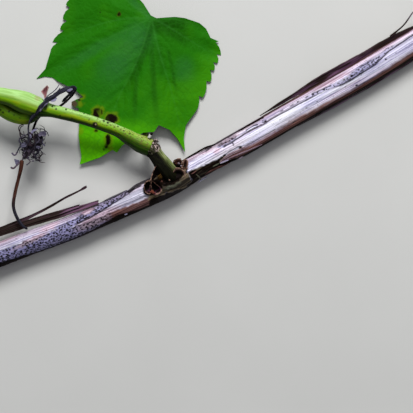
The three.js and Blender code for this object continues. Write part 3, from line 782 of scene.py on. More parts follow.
# Splinters that stand off the cane: route in pixels, width and lift in mm, and their kinds of bark
SPLINTERS = [
    ([(178, 159.8), (186, 157.4), (195, 153), (205, 148.2), (215, 144.4)], 1.1, 0.12, {"crack": 1}),
    ([(238, 131.8), (248, 125.8), (256, 121.4), (263, 117.4)], 0.9, 0.1, {"crack": 1}),
    ([(220, 163), (224, 161.2), (228, 159.7)], 0.5, 0.3, {"pink": 0.3}),
    ([(238, 158.4), (240.4, 157.2), (242.4, 155.8)], 0.5, 0.4, {"pink": 0.8}),
    ([(204.6, 174), (210, 171), (218, 167), (225, 164.2), (230, 161.8)],
     0.8, 0.25, {"brown": 1, "crack": 0.55}),
    ([(199.4, 184.4), (203, 182.2), (207.4, 178.6)], 0.6, 0.5, {"dull": 0.4}),
    ([(213, 166.2), (216, 164.6), (219.4, 162.8)], 0.45, 0.25, {"node": 1, "scurf": 0.8}),
    ([(246.6, 131.3), (250.4, 129), (254, 127), (257.6, 125.9)], 0.55, 0.12, {}),
    ([(191.2, 173.6), (194, 171.8), (196.4, 170.2)], 0.5, 0.3, {"brown": 1, "crack": 0.4}),
    ([(196, 174), (199, 176.6), (201, 180)], 0.5, 0.3, {"node": 1, "scurf": 0.5}),
    # A pale sliver in the painted shade that stands for a glint: a painted highlight
    ([(124.6, 214.8), (126, 214.3), (127.6, 213.8)], 0.4, -0.04, {"dull": 0.4}),
    ([(128, 192), (136, 186.4), (144, 181), (150, 177.4)], 1.0, 0.4, {"crack": 0.95}),
    ([(102, 202.6), (110, 198.6), (120, 194), (127, 190.6)], 0.7, 0.2, {"crack": 0.9}),
    ([(222.4, 159.4), (228, 155.6), (235, 152), (244, 148.4)], 0.8, 0.2, {"brown": 0.7, "pink": 0.8}),
    ([(230, 157.6), (240, 153.4), (250, 149.2), (262, 144)], 0.45, 0.2, {"brown": 0.4, "pink": 0.9}),
]


# Where kinds of bark begin and end along the photo's width, and the middle and half-width of two gaps,
# in pixels of the photo
BROWN_LEFT_RUN, GRIT_LEFT_END, PINK_LEFT_RUN = (82, 116), (96, 122), (112, 128)
DULL_LEFT_RUN, DULL_RIGHT_RUN, SPARSE_RUN = (105, 125), (310, 380), (238, 262)
DENSE_GRIT, FAINT_CRACK = (360, 20), (327, 11)
SCURF_FREE = (173, 185.4, 9, 2.8)
BORDER_OPEN = (5, 405)
# Noise over the cane: the size of its features in mm along and across, its seed and its octaves
WAVES = {
    "fine": (1.2, 1.2, 12, 1), "fine_too": (1.2, 1.2, 13, 1), "ragged": (6, 1.5, 11, 2),
    "streaky": (34, 1.8, 23, 2), "fibres": (24, 0.6, 14, 2), "split": (42, 2.2, 31, 2),
    "split_run": (17, 4, 32, 1), "dots": (1.6, 1, 34, 1), "flakes": (5, 0.7, 33, 2),
    "pink": (30, 2.6, 41, 2), "under": (34, 3.4, 21, 2), "under_grit": (26, 3, 22, 2),
    "ridges": (26, 0.8, 51, 3), "swells": (40, 3, 52, 2), "brown_ridges": (20, 0.9, 53, 2),
    "grit": (0.9, 0.9, 54, 2), "chips": (5, 0.9, 55, 2), "collar_lumps": (2.6, 1, 56, 2),
}
# Over how many mm a border and a crack run out at their ends, and how deep the grit and the cracks lie
EDGE_RUN, CRACK_RUN = 2.0, 1.5
GRIT_DEPTH, CRACK_DEPTH = 0.3, 0.42
CANE_RINGS, CANE_SIDES = 760, 104
SPLINTER_GRID, SPLINTER_SKIN = (40, 4), 0.3
SPLINTER_WIDTHS = ((0, 0.3), (0.3, 1), (0.7, 0.9), (1, 0.25))


def loose_side(share, turn):
    """How far loose bark widens the cane's right part on its lower side."""
    run = smooth(share, 0.5, 0.57) * (1 - 0.35 * smooth(share, 0.9, 1))
    return LOOSE_SIDE * run * smooth(-np.cos(turn), 0.2, 1)


def on_cane(pixels):
    """Distance along the cane and turn about it, for pixels of the photo that show its surface."""
    pixels = np.array(pixels, float)
    height, turn = np.full(len(pixels), CANE_MIDDLE + CANE_R[0] / 2), np.full(len(pixels), math.pi / 2)
    for _ in range(12):
        points = np.array([spot(u, v, z) for (u, v), z in zip(pixels, height)])
        gaps = np.linalg.norm(CANE_LINE.points[None, :, :2] - points[:, None, :2], axis=2)
        nearest = gaps.argmin(axis=1)
        share = CANE_LINE.reach[nearest] / CANE_LINE.length
        across, _ = CANE_LINE.level_sides(share)
        aside = ((points - CANE_LINE.points[nearest]) * across).sum(axis=1)
        r = blend(*CANE_R, share) + loose_side(share, turn)
        turn = (turn + np.arccos(np.clip(aside / r, -1, 1))) / 2
        height = CANE_LINE.points[nearest][:, 2] + r * np.sin(turn)
    return CANE_LINE.reach[nearest], turn


def border(pixels, along):
    """Turn of a border at each distance along the cane, and how far that is within the border's run.
    A border that starts or ends at the photo's edge runs on past it."""
    at, turn = on_cane(pixels)
    order = np.argsort(at)
    at, turn = at[order], turn[order]
    after = 99.0 if pixels[0][0] <= BORDER_OPEN[0] else along - at[0]
    before = 99.0 if pixels[-1][0] >= BORDER_OPEN[1] else at[-1] - along
    return np.interp(along, at, turn), np.minimum(after, before)


def below(pixels, along, turn, soft):
    """1 on the lower side of a border, within its run."""
    edge, inside = border(pixels, along)
    return smooth(turn - edge, -soft, soft) * smooth(inside, -EDGE_RUN, EDGE_RUN)


def seam(pixels, along, turn, width):
    """1 on a border itself, for a crack of this width in mm."""
    edge, inside = border(pixels, along)
    gap = (turn - edge) * CANE_R[0]
    return bell(gap, 0, width) * smooth(inside, 0, CRACK_RUN)


def patch(at, loop, soft):
    """1 inside a loop, with a soft edge."""
    loop = np.array(loop)
    gap = line_gap(at, closed(loop))[0]
    return smooth(np.where(inside_loop(at, loop), gap, -gap), -soft, soft)


def oval(at, u, v, long, wide):
    """Distance from a place, in units of an oval that lies along the cane at its node."""
    off = at - (u, v)
    return np.hypot(off @ NODE_WAY / long, off @ [-NODE_WAY[1], NODE_WAY[0]] / wide)


def ovals(at, places, end=1.3):
    """The strongest of several soft ovals: u, v, length, width and, where it isn't 1, strength."""
    return np.maximum.reduce([
        (strength or [1])[0] * fade(oval(at, *place), 0.6, end)
        for place, strength in ((place[:4], place[4:]) for place in places)
    ])


def cane_surface(along, turn):
    """The cane's radius before its relief, with the swelling at the node."""
    share = along / CANE_LINE.length
    swell = NODE_SWELL * bell(share, NODE_AT, 0.045)
    return blend(*CANE_R, share) + swell * np.maximum(0, np.sin(turn + 0.5)) + loose_side(share, turn)


def cane_bark(along, turn, grain):
    """How much of each kind of bark lies at a place on the cane, with painted shade counted among the cracks,
    and its relief in mm.
    """
    wave = {
        name: noise(grain, (long, wide, wide), seed, octaves)
        for name, (long, wide, seed, octaves) in WAVES.items()
    }
    at = pixel_of(about(CANE_LINE, along, turn, cane_surface(along, turn)))
    across_photo = at[:, 0]
    fine = wave["fine"]
    ragged = turn + 0.1 * wave["ragged"] + 0.05 * fine
    torn = at + 1.1 * np.stack([fine, wave["fine_too"]], -1)
    facing = smooth(np.sin(turn) + 0.5 * np.abs(wave["streaky"]), -0.16, 0.06)
    node = NODE_AT * CANE_LINE.length
    left, right = smooth(node - along, -2, 2), smooth(along - node, -2, 2)

    # Gritty inner bark where the plates have fallen away
    brown_left = patch(torn, BROWN_LEFT, 0.9) * (0.3 + 0.7 * smooth(across_photo, *BROWN_LEFT_RUN))
    lens = fade(ragged - border(CRACK_RIGHT, along)[0], -0.04, 0.04) * below(LENS_TOP, along, ragged, 0.06)
    inner = np.maximum.reduce([
        patch(torn, GRIT_LEFT, 0.8) * (1 - 0.8 * brown_left * smooth(across_photo, *GRIT_LEFT_END)),
        0.92 * lens, 0.9 * ovals(torn, GRIT_PATCHES, 1.2),
    ])
    sparse = 0.05 + 0.95 * smooth(across_photo, *SPARSE_RUN) - 0.85 * bell(across_photo, *DENSE_GRIT)

    # Brown fibres on the lower side, painted shadow in brown under the flap, and the node's own bark
    edge, inside = border(FLAP_EDGE, along)
    flap_shadow = smooth(edge - turn - 0.03 * fine, -0.07, 0.07) * smooth(inside, -2, 2)
    wedge = patch(torn, WEDGE, 0.7)
    lower = ragged + 0.12 * wave["fibres"]
    brown = 0.45 * below(BROWN_TOP, along, lower, 0.16) + 0.55 * below(BROWN_TOP, along, lower - 0.12, 0.16)
    brown = np.maximum.reduce([brown, brown_left, 0.66 * wedge, flap_shadow])
    collar, broken = patch(torn, COLLAR, 1.0), patch(torn, BROKEN, 0.8)
    scurf = 0.55 * collar * fade(oval(torn, *SCURF_FREE), 0.5, 1.3)
    pits = [(oval(torn, *place), depth) for place, depth in PITS]

    # Cracks that lie below the surface, and all that is dark: the cracks and broken bark, and painted shade
    split = fade(np.abs(wave["split"]), 0.0, 0.045) * smooth(wave["split_run"], 0.0, 0.35)
    groove = np.maximum.reduce([
        (1 - 0.6 * bell(across_photo, *FAINT_CRACK)) * seam(CRACK_RIGHT, along, turn + 0.02 * fine, 0.43),
        seam(CRACK_LEFT, along, turn + 0.02 * fine, 0.44),
        0.4 * seam(LENS_TOP, along, ragged, 0.16),
        split * (0.25 + 0.6 * brown),
        0.7 * smooth(wave["dots"], -0.1, 0.2) * fade(line_gap(blend(at, torn, 0.4), DOTTED)[0], 0.3, 0.9),
        0.9 * fade(line_gap(blend(at, torn, 0.3), TOP_EDGE)[0], 0.8, 1.9),
        *(
            amount * fade(line_gap(blend(at, torn, 0.25), route)[0], 0.3 * half, 1.7 * half)
            for route, half, amount in THIN_LINES
        ),
        ovals(at, [(u, v, 1.3 * size, size) for u, v, size in DARK_SPOTS], 1.2),
    ])
    dark_lines_and_shade = np.maximum.reduce([
        # The second of these is painted shadow of the bark flap on the cane beneath it
        groove, 0.62 * flap_shadow, 0.9 * patch(torn, TOP_LEFT, 0.7),
        # Painted shade along the lower side and below the collar
        0.985 * np.maximum(below(LOW_SHADE_BORDER, along, ragged, 0.08), patch(torn, SHADE_BELOW_COLLAR, 0.7)),
        broken * (1 - 0.6 * smooth(wave["flakes"], 0.15, 0.5)),
        # Painted shade along the lower side of the cane's right part
        0.985 * smooth(turn, 2.6, 2.74) * right,
        # Painted shade in the pits
        *(fade(gap, 1.0, 1.2) for gap, _ in pits),
    ])

    pink = np.maximum.reduce([
        0.4 * smooth(wave["pink"], 0.05, 0.45), smooth(1.15 - turn, 0, 0.5) * (0.85 * right + 0.5 * left),
        ovals(torn, PINK_PATCHES), wedge, brown_left * smooth(across_photo, *PINK_LEFT_RUN),
    ])
    dull = left * (0.3 + 0.25 * smooth(across_photo, *DULL_LEFT_RUN))
    dull = np.maximum.reduce([
        np.clip(dull + 0.45 * smooth(across_photo, *DULL_RIGHT_RUN), 0, 1),
        0.2 * below(BROWN_TOP, along, ragged + 0.4, 0.3), ovals(torn, DULL_PATCHES),
    ])

    # The hidden underside has broken plates of its own
    brown = blend(blend(0.95, 0.5, smooth(wave["under"], -0.1, 0.1)), brown, facing)
    inner = blend(0.45 * smooth(wave["under_grit"], 0.15, 0.3), inner, facing)
    dark_lines_and_shade, groove = blend(0.8 * split, dark_lines_and_shade, facing), blend(0.8 * split, groove, facing)

    relief = 0.09 * wave["ridges"] + 0.12 * wave["swells"] + brown * (0.2 * wave["brown_ridges"] - 0.12)
    relief += inner * (0.14 * wave["grit"] - GRIT_DEPTH) - CRACK_DEPTH * groove
    relief += facing * broken * (0.6 * wave["chips"] - 0.3)
    relief += facing * collar * (0.12 * wave["collar_lumps"] + 0.3 * bell(oval(torn, *FOOT_PIT), 1.3, 0.2))
    for gap, depth in pits:
        relief -= facing * depth * fade(gap, 0.65, 1.05)
    kinds = {
        "inner": inner, "brown": brown, "crack": np.clip(dark_lines_and_shade, 0, 1), "pink": pink * facing,
        "dull": dull * facing, "node": np.maximum(collar, broken) * facing, "scurf": scurf * facing,
        "sparse": blend(0.9, sparse, facing),
    }
    return kinds, relief


def splinter(route, width, lift, kinds, seed):
    """A splinter of bark that follows the cane's surface through these pixels, lifted off it."""
    at, turn = on_cane(route)
    points = about(CANE_LINE, at, turn, cane_surface(at, turn) + lift)
    lean = np.clip(np.degrees(turn) - 90, -50, 50)
    tilts = list(zip(np.linspace(0, 1, len(lean)), lean))
    even = lambda points, grain: {
        kind: np.full(len(points), float(amount)) for kind, amount in kinds.items()
    }
    widths = [[share, part * width] for share, part in SPLINTER_WIDTHS]
    return ribbon(
        "splinter", Line(points), widths, tilts, *SPLINTER_GRID, curl=0.1, ragged=0.2, seed=seed,
        thickness=SPLINTER_SKIN, marks=even,
    )


def make_cane():
    def radius(along, turn, grain):
        out = cane_surface(along, turn)
        if len(along) > 2:
            out = out + cane_bark(along, turn, grain)[1]
        r = blend(*CANE_R, along / CANE_LINE.length)
        return np.where(np.sin(turn) < 0, np.minimum(out, r / np.maximum(-np.sin(turn), 0.2)), out)

    marks = lambda points, grain, turn, out: cane_bark(grain[:, 0], turn, grain)[0]
    parts = [tube("cane_bark", CANE_LINE, radius, CANE_RINGS, CANE_SIDES, (0, 0), marks=marks)]
    parts += [splinter(*data, 500 + k) for k, data in enumerate(SPLINTERS)]
    return dress(join("cane_bark", parts), "bark", "cane")


def beside_cane(x, aside, height):
    """A point this far from the cane's middle, across the piece, at this x."""
    low, high = 0.0, 1.0
    while high - low > 1e-4:
        middle = (low + high) / 2
        at = CANE_LINE.at([middle])[0] + CANE_LINE.level_sides(np.array([middle]))[0][0] * aside
        low, high = (middle, high) if at[0] < x else (low, middle)
    return [x, at[1], height]


# Loose bark: points as x, distance from the cane's middle and height, then widths, tilts and shape
STRIPS = {
    "bark_strip_left": {
        "line": [(-99, 9.4, 6.6), (-81.6, 8.5, 7.6), (-66, 7.4, 8.2), (-55, 6.4, 8.7), (-47.6, 5.5, 9)],
        "widths": [[0, 2.8], [0.6, 3.1], [0.8, 2.6], [1, 2.2]],
        "tilts": [[0, 8], [0.6, -14], [1, -40]], "grid": (150, 14), "torn": (0, 0.8),
        "wine": [[0.55, 0], [0.85, 1]],
        "layer": [(-99, 9.9, 7.1), (-81.6, 9.3, 8.2), (-66, 8.4, 8.9), (-56.2, 7.6, 9.3)],
    },
    "bark_fibre_left": {
        "line": [
            (-99, 10.4, 5.6), (-85.2, 10.7, 6), (-76.7, 11.4, 6.6), (-70.4, 12.3, 7.2),
            (-63.2, 13.5, 7.8), (-56.5, 13.9, 8.2), (-53.3, 14.3, 8.4),
        ],
        "widths": [[0, 3], [0.3, 2], [0.5, 1.2], [0.8, 0.9], [0.92, 0.7], [0.97, 1.2], [1, 0.8]],
        "tilts": [[0, 4], [1, -6]], "grid": (150, 8), "torn": (0, 0.4),
    },
    "bark_flap_right": {
        "line": [
            (24, 5.8, 6.6), (37.6, 6.3, 6.3), (51.2, 6.6, 6.2), (69.4, 6.3, 6.2), (83, 6.1, 6.2),
            (99, 5.7, 6.2),
        ],
        "widths": [[0, 0.3], [0.15, 1.6], [0.4, 3.6], [0.7, 3.1], [1, 2.4]],
        "tilts": [[0, 20], [1, 26]], "grid": (190, 14), "curl": -0.2,
        "wine": [[0.15, 0.3], [0.4, 1], [0.55, 0.9], [0.75, 0.1]],
    },
    "bark_fibre_right": {
        "line": [(82.5, 7.4, 7), (88.4, 8.75, 8), (93, 11.6, 8.8), (97, 14.3, 9.4)],
        "widths": [[0, 0.9], [0.3, 0.6], [1, 0.5]], "tilts": [[0, 20], [1, 0]], "grid": (60, 4),
        "pale": 0.25,
    },
    "bark_strip_under": {
        "line": [(41, -6.4, 4.2), (62, -7, 4.2), (86, -6.9, 4.2), (98, -6.7, 4.2)],
        "widths": [[0, 0.2], [0.3, 1.3], [0.8, 1.6], [1, 1.3]],
        "tilts": [[0, 66], [1, 62]], "grid": (130, 8), "wine": [[0, 1], [1, 1]], "pale": 0.3,
    },
}
# The second layer on the left strip
LAYER_WIDTHS, LAYER_GRID, LAYER_SKIN = [[0, 1.6], [0.7, 1.9], [1, 1.5]], (120, 8), 0.3


def make_loose_bark():
    for number, (name, strip) in enumerate(STRIPS.items()):
        line = Line([beside_cane(*p) for p in strip["line"]])

        def marks(points, grain):
            share = grain[:, 0] / line.length
            return {
                "wine": along_pairs(strip.get("wine", [[0, 0.2], [1, 0.2]]), share),
                "pale": strip.get("pale", 0) * smooth(noise(grain, (8, 1, 1), 90), -0.3, 0.3),
            }

        piece = ribbon(
            name + "_skin", line, strip["widths"], strip["tilts"], *strip["grid"],
            curl=strip.get("curl", 0.15), ragged=0.1, torn=strip.get("torn", (0, 0)), seed=3 + 2 * number,
            rippled=0.1, marks=marks,
        )
        if "layer" in strip:
            line = Line([beside_cane(*p) for p in strip["layer"]])
            over = ribbon(
                "layer", line, LAYER_WIDTHS, strip["tilts"], *LAYER_GRID, ragged=0.12, torn=(0, 0.9), seed=41,
                rippled=0.1, thickness=LAYER_SKIN, marks=marks,
            )
            piece = join(name + "_skin", [piece, over])
        dress(piece, "loose_bark", name)


# The shoot's limbs: points and radii in mm, rings and sides, depth of the ribs, rounding of the ends, how
# far each end runs on into its neighbour, and the depth of loose flakes
SHOOT_R = 2.55
FOOT_R = 3.7
LIMBS = {
    "shoot": {
        "line": [
            [-25.5, -9.2, 12.7], [-29.6, -7.5, 13], [-34, -5.1, 13.5], [-39.5, -2, 14.2],
            [-50.7, 2.1, 15.4], [-64.7, 6, 16.2], [-71.4, 7.5, 16.4], [-75, 8.3, 16.4],
        ],
        "radii": [[0, 4], [0.08, 4], [0.18, 3.3], [0.31, SHOOT_R], [0.55, SHOOT_R], [0.82, 2.85], [1, 4.4]],
        "grid": (230, 56), "ribs": 0.07, "ends": (0.5, 1.5), "extend": (0.9, 2),
    },
    "shoot_ring": {
        "line": [[-22.9, -11.8, 12.2], [-23.8, -10.5, 12.4], [-24.7, -9.8, 12.6], [-25.5, -9.4, 12.7]],
        "radii": [[0, FOOT_R - 0.4], [0.5, FOOT_R], [1, FOOT_R - 0.1]],
        "grid": (30, 64), "ribs": 0.2, "ends": (0.7, 0.7), "extend": (0.3, 0.3), "flakes": 0.35,
    },
    "shoot_foot": {
        "line": [
            [-15.1, -22, 6.5], [-17.1, -19.4, 9.6], [-19.8, -16.1, 11.4], [-21.9, -13.2, 12],
            [-23.2, -11.3, 12.3],
        ],
        "radii": [[0, FOOT_R + 0.4], [0.5, FOOT_R + 0.1], [0.8, FOOT_R - 0.4], [1, FOOT_R - 0.3]],
        "grid": (70, 56), "ribs": 0.16, "ends": (0.8, 0.8), "extend": (1.2, 1.6),
    },
    "petiole_stub": {
        "line": [
            [-75.4, 8.7, 16.6], [-79.9, 10.3, 17], [-85.4, 12.2, 17.6], [-91, 13.5, 18],
            [-98.4, 14.8, 18.4],
        ],
        "radii": [[0, 2.5], [0.2, 4.6], [0.36, 4.9], [0.68, 3.6], [1, 2.5]],
        "grid": (90, 56), "ribs": 0.05, "ends": (1.5, 0), "extend": (6, 0),
    },
    "shoot_tip": {
        "line": [
            [-76, 5.5, 14.6], [-80.6, 4.2, 13.4], [-86.1, 5.4, 13], [-91.7, 8.9, 13.2],
            [-99.2, 14, 13.6],
        ],
        "radii": [[0, 2.6], [0.2, 3.3], [0.6, 3.5], [1, 3]],
        "grid": (90, 56), "ribs": 0.08, "ends": (1.5, 0), "extend": (1.5, 0),
    },
}

# Dark lenticels and scars on the shoot: pixel of the photo and radius in pixels
SHOOT_FLECKS = [
    (52.3, 106.4, 0.9), (56, 109, 1), (66, 109.4, 1), (104, 121, 1.1), (107.8, 122.7, 1.2),
    (84, 113.5, 0.7), (75, 110.5, 0.6), (72, 118.5, 0.7), (118, 126.5, 0.8), (124, 131, 0.8),
    (60, 115.5, 0.7), (89, 119.8, 0.7), (98, 117.3, 0.6), (130, 133.5, 0.8), (95, 124.6, 2.9),
]
TIP_FLECKS = [(0.6, 110, 1.1), (3, 112.4, 1.2), (9, 111.5, 1.1), (14, 115, 0.8), (20, 118, 0.7)]
# Other marks, as pixels of the photo: ovals with their half-width and half-height, round spots with the
# distances between which they fade, and runs along the photo's width
# The first is a dark wedge on the shoot beside the tendril band
DARK_WEDGE, SHOOT_BLUSH = (45.5, 106.5, 1.9, 4.2), (40, 100, 4.5, 2.5)
SHOOT_SHADE, STUB_SHADE, STUB_BLUSH = (40, 119, 5, 13), (40, 120, 5, 12), (37.5, 98, 1, 4.5)
WART = (95.7, 124.4, 0.4, 1)
SHADED_RUN, TIP_JOINT_RUN, STUB_BAND = (112, 138), (22, 36), (35, 105)
# The crust on the ring: how many lumps, the photo's row above which they catch the light, and the larger
# ones as pixel, height, size, stretch and kind
RING_LUMPS = 40
RING_LIT_ABOVE = 147
RING_CRUMBS = [
    (150, 136, 15.6, 0.75, (0.8, 1.3, 0.8), "white", 0.7),
    (148.6, 136.8, 15.4, 0.45, (1, 1, 0.8), "white", 0.8),
    (151.3, 134, 15.8, 0.7, (1, 0.9, 0.8), "deep", 0.9),
    (155.6, 140.4, 15.2, 0.8, (1.2, 0.8, 0.6), "flaky", 0.9),
    (157.6, 141.8, 14.4, 0.5, (1, 0.8, 0.7), "flaky", 0.8),
    (153, 148.5, 15.4, 0.4, (0.7, 1.4, 0.6), "white", 0.35),
    (151.4, 145.6, 15.8, 0.4, (1, 1.2, 0.7), "white", 0.4),
    (150.6, 149.6, 15.2, 0.4, (1.2, 0.8, 0.7), "white", 0.45),
    (152.8, 152.4, 14.6, 0.35, (0.8, 1.2, 0.7), "white", 0.35),
    (155, 143.8, 15.4, 0.5, (1, 1, 0.6), "flaky", 0.9),
]


def spot_mark(at, u, v, near, far):
    """1 round a place of the photo, falling to 0 between these distances."""
    return fade(spot_gap(at, (u, v)), near, far)


def flecked(points, out, flecks):
    """1 on the dark marks that the photo shows, on the upper side of a limb."""
    at = pixel_of(points)
    dark = np.maximum.reduce([spot_mark(at, u, v, 0.6 * r, 1.25 * r) for u, v, r in flecks])
    return dark * smooth(out[:, 2], 0, 0.2)


def shoot_marks(points, grain, out):
    at, share, upper = pixel_of(points), grain[:, 0], out[:, 1]
    uneven = noise(grain * [80, 1, 1], (7, 1.5, 1.5), 71, 2)
    old = smooth(0.3 - share, -0.12, 0.12)
    dark_wedge, blush = (
        np.hypot((at[:, 0] - u) / wide, (at[:, 1] - v) / tall) for u, v, wide, tall in (DARK_WEDGE, SHOOT_BLUSH)
    )
    shaded = 0.4 * smooth(at[:, 0], *SHADED_RUN) * smooth(0.4 - upper, 0, 0.4) + spot_mark(at, *SHOOT_SHADE)
    return {
        # pale is a painted sheen on the upper side; deep is painted shade on the lower side, at the ring end
        # and in shadows
        "pale": smooth(upper + 0.2 * uneven, 0.1, 0.8) * (1 - 0.6 * old),
        "deep": np.clip(
            smooth(0.15 * uneven - upper, 0.1, 0.6) + (0.35 - 0.6 * upper) * old + shaded, 0, 1,
        ),
        "aged": 0.8 * smooth(0.2 - share, -0.08, 0.16) * smooth(upper + 0.3 * uneven, 0.3, 0.95),
        "blush": 0.5 * fade(blush, 0.5, 1.3),
        "fleck": np.maximum(
            flecked(points, out, SHOOT_FLECKS), 0.75 * fade(dark_wedge, 0.6, 1.2) * (out[:, 2] > 0),
        ),
        "flaky": (0.3 + 0.6 * smooth(0.7 - share, -0.1, 0.4)) * smooth(upper + 0.3 * uneven, -0.6, 0.2),
        "scab": 0.8 * spot_mark(at, *WART),
    }


def stub_marks(points, grain, out):
    at, upper = pixel_of(points), out[:, 1]
    band = np.abs(at[:, 0] - STUB_BAND[0] + 0.25 * (at[:, 1] - STUB_BAND[1]))
    return {
        # pale is a painted sheen on the upper side; deep is painted shade below and in the shadow by the
        # joint
        "pale": smooth(upper + 0.35, 0.0, 0.75),
        "deep": np.clip(0.8 * smooth(-upper, 0.3, 0.85) + spot_mark(at, *STUB_SHADE), 0, 1),
        "flaky": 0.2 * fade(band, 0.6, 2.4),
        "blush": 0.4 * spot_mark(at, *STUB_BLUSH),
    }


def tip_marks(points, grain, out):
    upper = out[:, 1]
    joint = smooth(pixel_of(points)[:, 0], *TIP_JOINT_RUN)
    shade = 0.55 + 0.45 * smooth(upper, 0.1, 0.6) - 0.4 * smooth(-upper, 0.3, 0.8)
    return {
        # deep is painted shade: some everywhere, more on the upper side under the stub and towards the joint,
        # less below
        "deep": np.clip(shade + joint, 0, 1),
        "flaky": 0.4 * smooth(-upper, 0.0, 0.7),
        "fleck": flecked(points, out, TIP_FLECKS),
    }


def foot_marks(points, grain, out):
    share, lit = grain[:, 0], 0.75 * out[:, 0] + 0.66 * out[:, 1]
    return {
        # lit is painted light on the side towards the light; deep is painted shade on the other side and at
        # the lower end by the cane
        "lit": smooth(lit, 0.35, 0.95),
        "deep": np.maximum(smooth(-lit, -0.62, -0.1), smooth(0.3 - share, -0.1, 0.12)),
        "flaky": 0.6 * smooth(share, 0.78, 0.95) * smooth(out[:, 1], -0.2, 0.5),
    }


def ring_marks(points, grain, out):
    return {
        # deep is painted shade on the side away from the light; the flaky cork lies on the lit side
        "flaky": 0.85 * smooth(0.5 * out[:, 0] + 0.75 * out[:, 1], -0.2, 0.5),
        "deep": 0.9 * smooth(-0.5 * out[:, 0] - 0.8 * out[:, 1], -0.3, 0.4),
    }


def make_limb(name, marks):
    limb = LIMBS[name]
    points = [list(p) for p in limb["line"]]
    for end, beyond, reach in zip((0, -1), (1, -2), limb["extend"]):
        step = np.subtract(points[end], points[beyond])
        points[end] = list(np.add(points[end], step / np.linalg.norm(step) * reach))
    line, ribs = Line(points), limb["ribs"]

    def radius(along, turn, grain):
        r = along_pairs(limb["radii"], along / line.length)
        flaky = limb.get("flakes", 0) * noise(grain, 0.8, 62, 2)
        return r + ribs * noise(grain, (18, 1.1, 1.1), 61, 2) + 0.5 * ribs * np.cos(7 * turn) + flaky

    made = lambda points, grain, turn, out: marks(points, grain / [line.length, 1, 1], out)
    return tube(name + "_skin", line, radius, *limb["grid"], limb["ends"], marks=made)


def crumb(u, v, height, size, seed, stretch=(1, 1, 1), **kinds):
    """A small lump of dry tissue at a pixel of the photo."""
    select_none()
    bpy.ops.mesh.primitive_ico_sphere_add(subdivisions=3, radius=1)
    piece = bpy.context.object
    at = np.empty(len(piece.data.vertices) * 3)
    piece.data.vertices.foreach_get("co", at)
    at = at.reshape(-1, 3)
    bumpy = at * (1 + 0.45 * noise(at, 0.7, seed, 2)[:, None]) * stretch
    piece.data.vertices.foreach_set("co", ((np.array(spot(u, v, height)) + size * bumpy) * MM).ravel())
    mark(piece, grain=at * size, **{kind: np.full(len(at), value) for kind, value in kinds.items()})
    return piece


def make_shoot():
    for name, slot_name, marks in (
        ("shoot", "green_bark", shoot_marks), ("petiole_stub", "green_bark", stub_marks),
        ("shoot_tip", "green_bark", tip_marks), ("shoot_foot", "brown_bark", foot_marks),
    ):
        dress(make_limb(name, marks), slot_name, name)
    parts = [make_limb("shoot_ring", ring_marks)]
    random.seed(31)
    line = Line(LIMBS["shoot_ring"]["line"])
    across, up = line.level_sides(np.array([0.5]))
    for k in range(RING_LUMPS):
        turn = random.uniform(0.3, 1) * math.pi
        at = line.at([random.uniform(0.25, 1.1)])[0]
        at = at + (across[0] * math.cos(turn) + up[0] * math.sin(turn)) * random.uniform(3.5, 3.9)
        pixel = pixel_of(at[None, :])[0]
        light = pixel[1] < RING_LIT_ABOVE
        # Lumps above that row get more flaky cork and less painted shade, as painted light; the others more
        # painted shade
        parts.append(crumb(
            *pixel, at[2], random.uniform(0.2, 0.45), 200 + k, (1, random.uniform(0.5, 1), 0.6),
            flaky=random.uniform(0.3, 1) if light else random.uniform(0, 0.6),
            deep=random.uniform(0, 0.5) if light else random.uniform(0, 1),
        ))
    for u, v, height, size, stretch, kind, amount in RING_CRUMBS:
        parts.append(crumb(u, v, height, size, 250 + int(u), stretch, **{kind: amount}))
    dress(join("shoot_ring_skin", parts), "brown_bark", "shoot_ring")


# The leaf
LEAF_JUNCTION = (-24.1, 49.1)
LEAF_JUNCTION_R = 1.6
LEAF_TURN = 27.1
LEAF_RIDGE = 22
LEAF_TOP = 6.7
LEAF_LOW = 0.6
LEAF_FALL = (42, 30)
LEAF_SKIN = 0.45
LEAF_CELL = 0.62
SIDE_VEINS = 9

# Each dip between two teeth as shares of the way and of the distance, left and right of the midrib, and
# the turns of the blade's rim at the junction
LEAF_DIPS = (((0.18, 0.945), (0.45, 0.985), (0.75, 1)), ((0.25, 1), (0.55, 0.985), (0.82, 0.945)))
LEAF_BASE = (118, -116)
# The leaf's margin as [degrees from the midrib, mm from the junction], with True at a tooth
LEAF_MARGIN = [
    [-120, 8], [-114, 20], [-107, 24.4], [-101, 28.4, True], [-95.6, 33, True], [-88, 36.6, True],
    [-80, 39.1, True], [-72.7, 40.2, True], [-63.3, 41, True], [-57.2, 42.5, True], [-50.7, 46.8, True],
    [-45.5, 48.9, True], [-38.6, 53.8], [-36.3, 59.3], [-35.4, 55.4], [-33.4, 52.8], [-30, 51.4],
    [-21, 47.5], [-14.7, 47.2], [-16.6, 49.8], [-17.7, 52.4], [-16.5, 53.6], [-14.1, 53], [-13, 52.4],
    [-8.6, 57.2], [-5.7, 62.3], [-2.5, 66.9], [-0.4, 70.3], [0.2, 73.6], [3.1, 70.1], [6.1, 67], [10, 61.9],
    [12.1, 62.5], [13.5, 59], [16.2, 55.6], [22.5, 51.6], [27.7, 51.1], [30.2, 48.1], [35.5, 50.6],
    [38.6, 55.1], [40.6, 61.7], [41.5, 55.4], [44.3, 50], [51.9, 45.8, True], [59.5, 41.8, True],
    [69.8, 38.2, True], [77, 35.8, True], [82.9, 35, True], [89.9, 34.5, True], [98.9, 31.2, True],
    [99.6, 27.2], [107.7, 24.2], [113, 21], [119, 14.4], [122, 9.9],
]
LEAF_HOLES = [
    ((-49.3, 6.6), (-48.7, 6.9), 1.6), ((-43.5, 4), (-42.5, 4.2), 1.9), ((-44.3, -4.6), (-44.2, -6.8), 0.7),
]

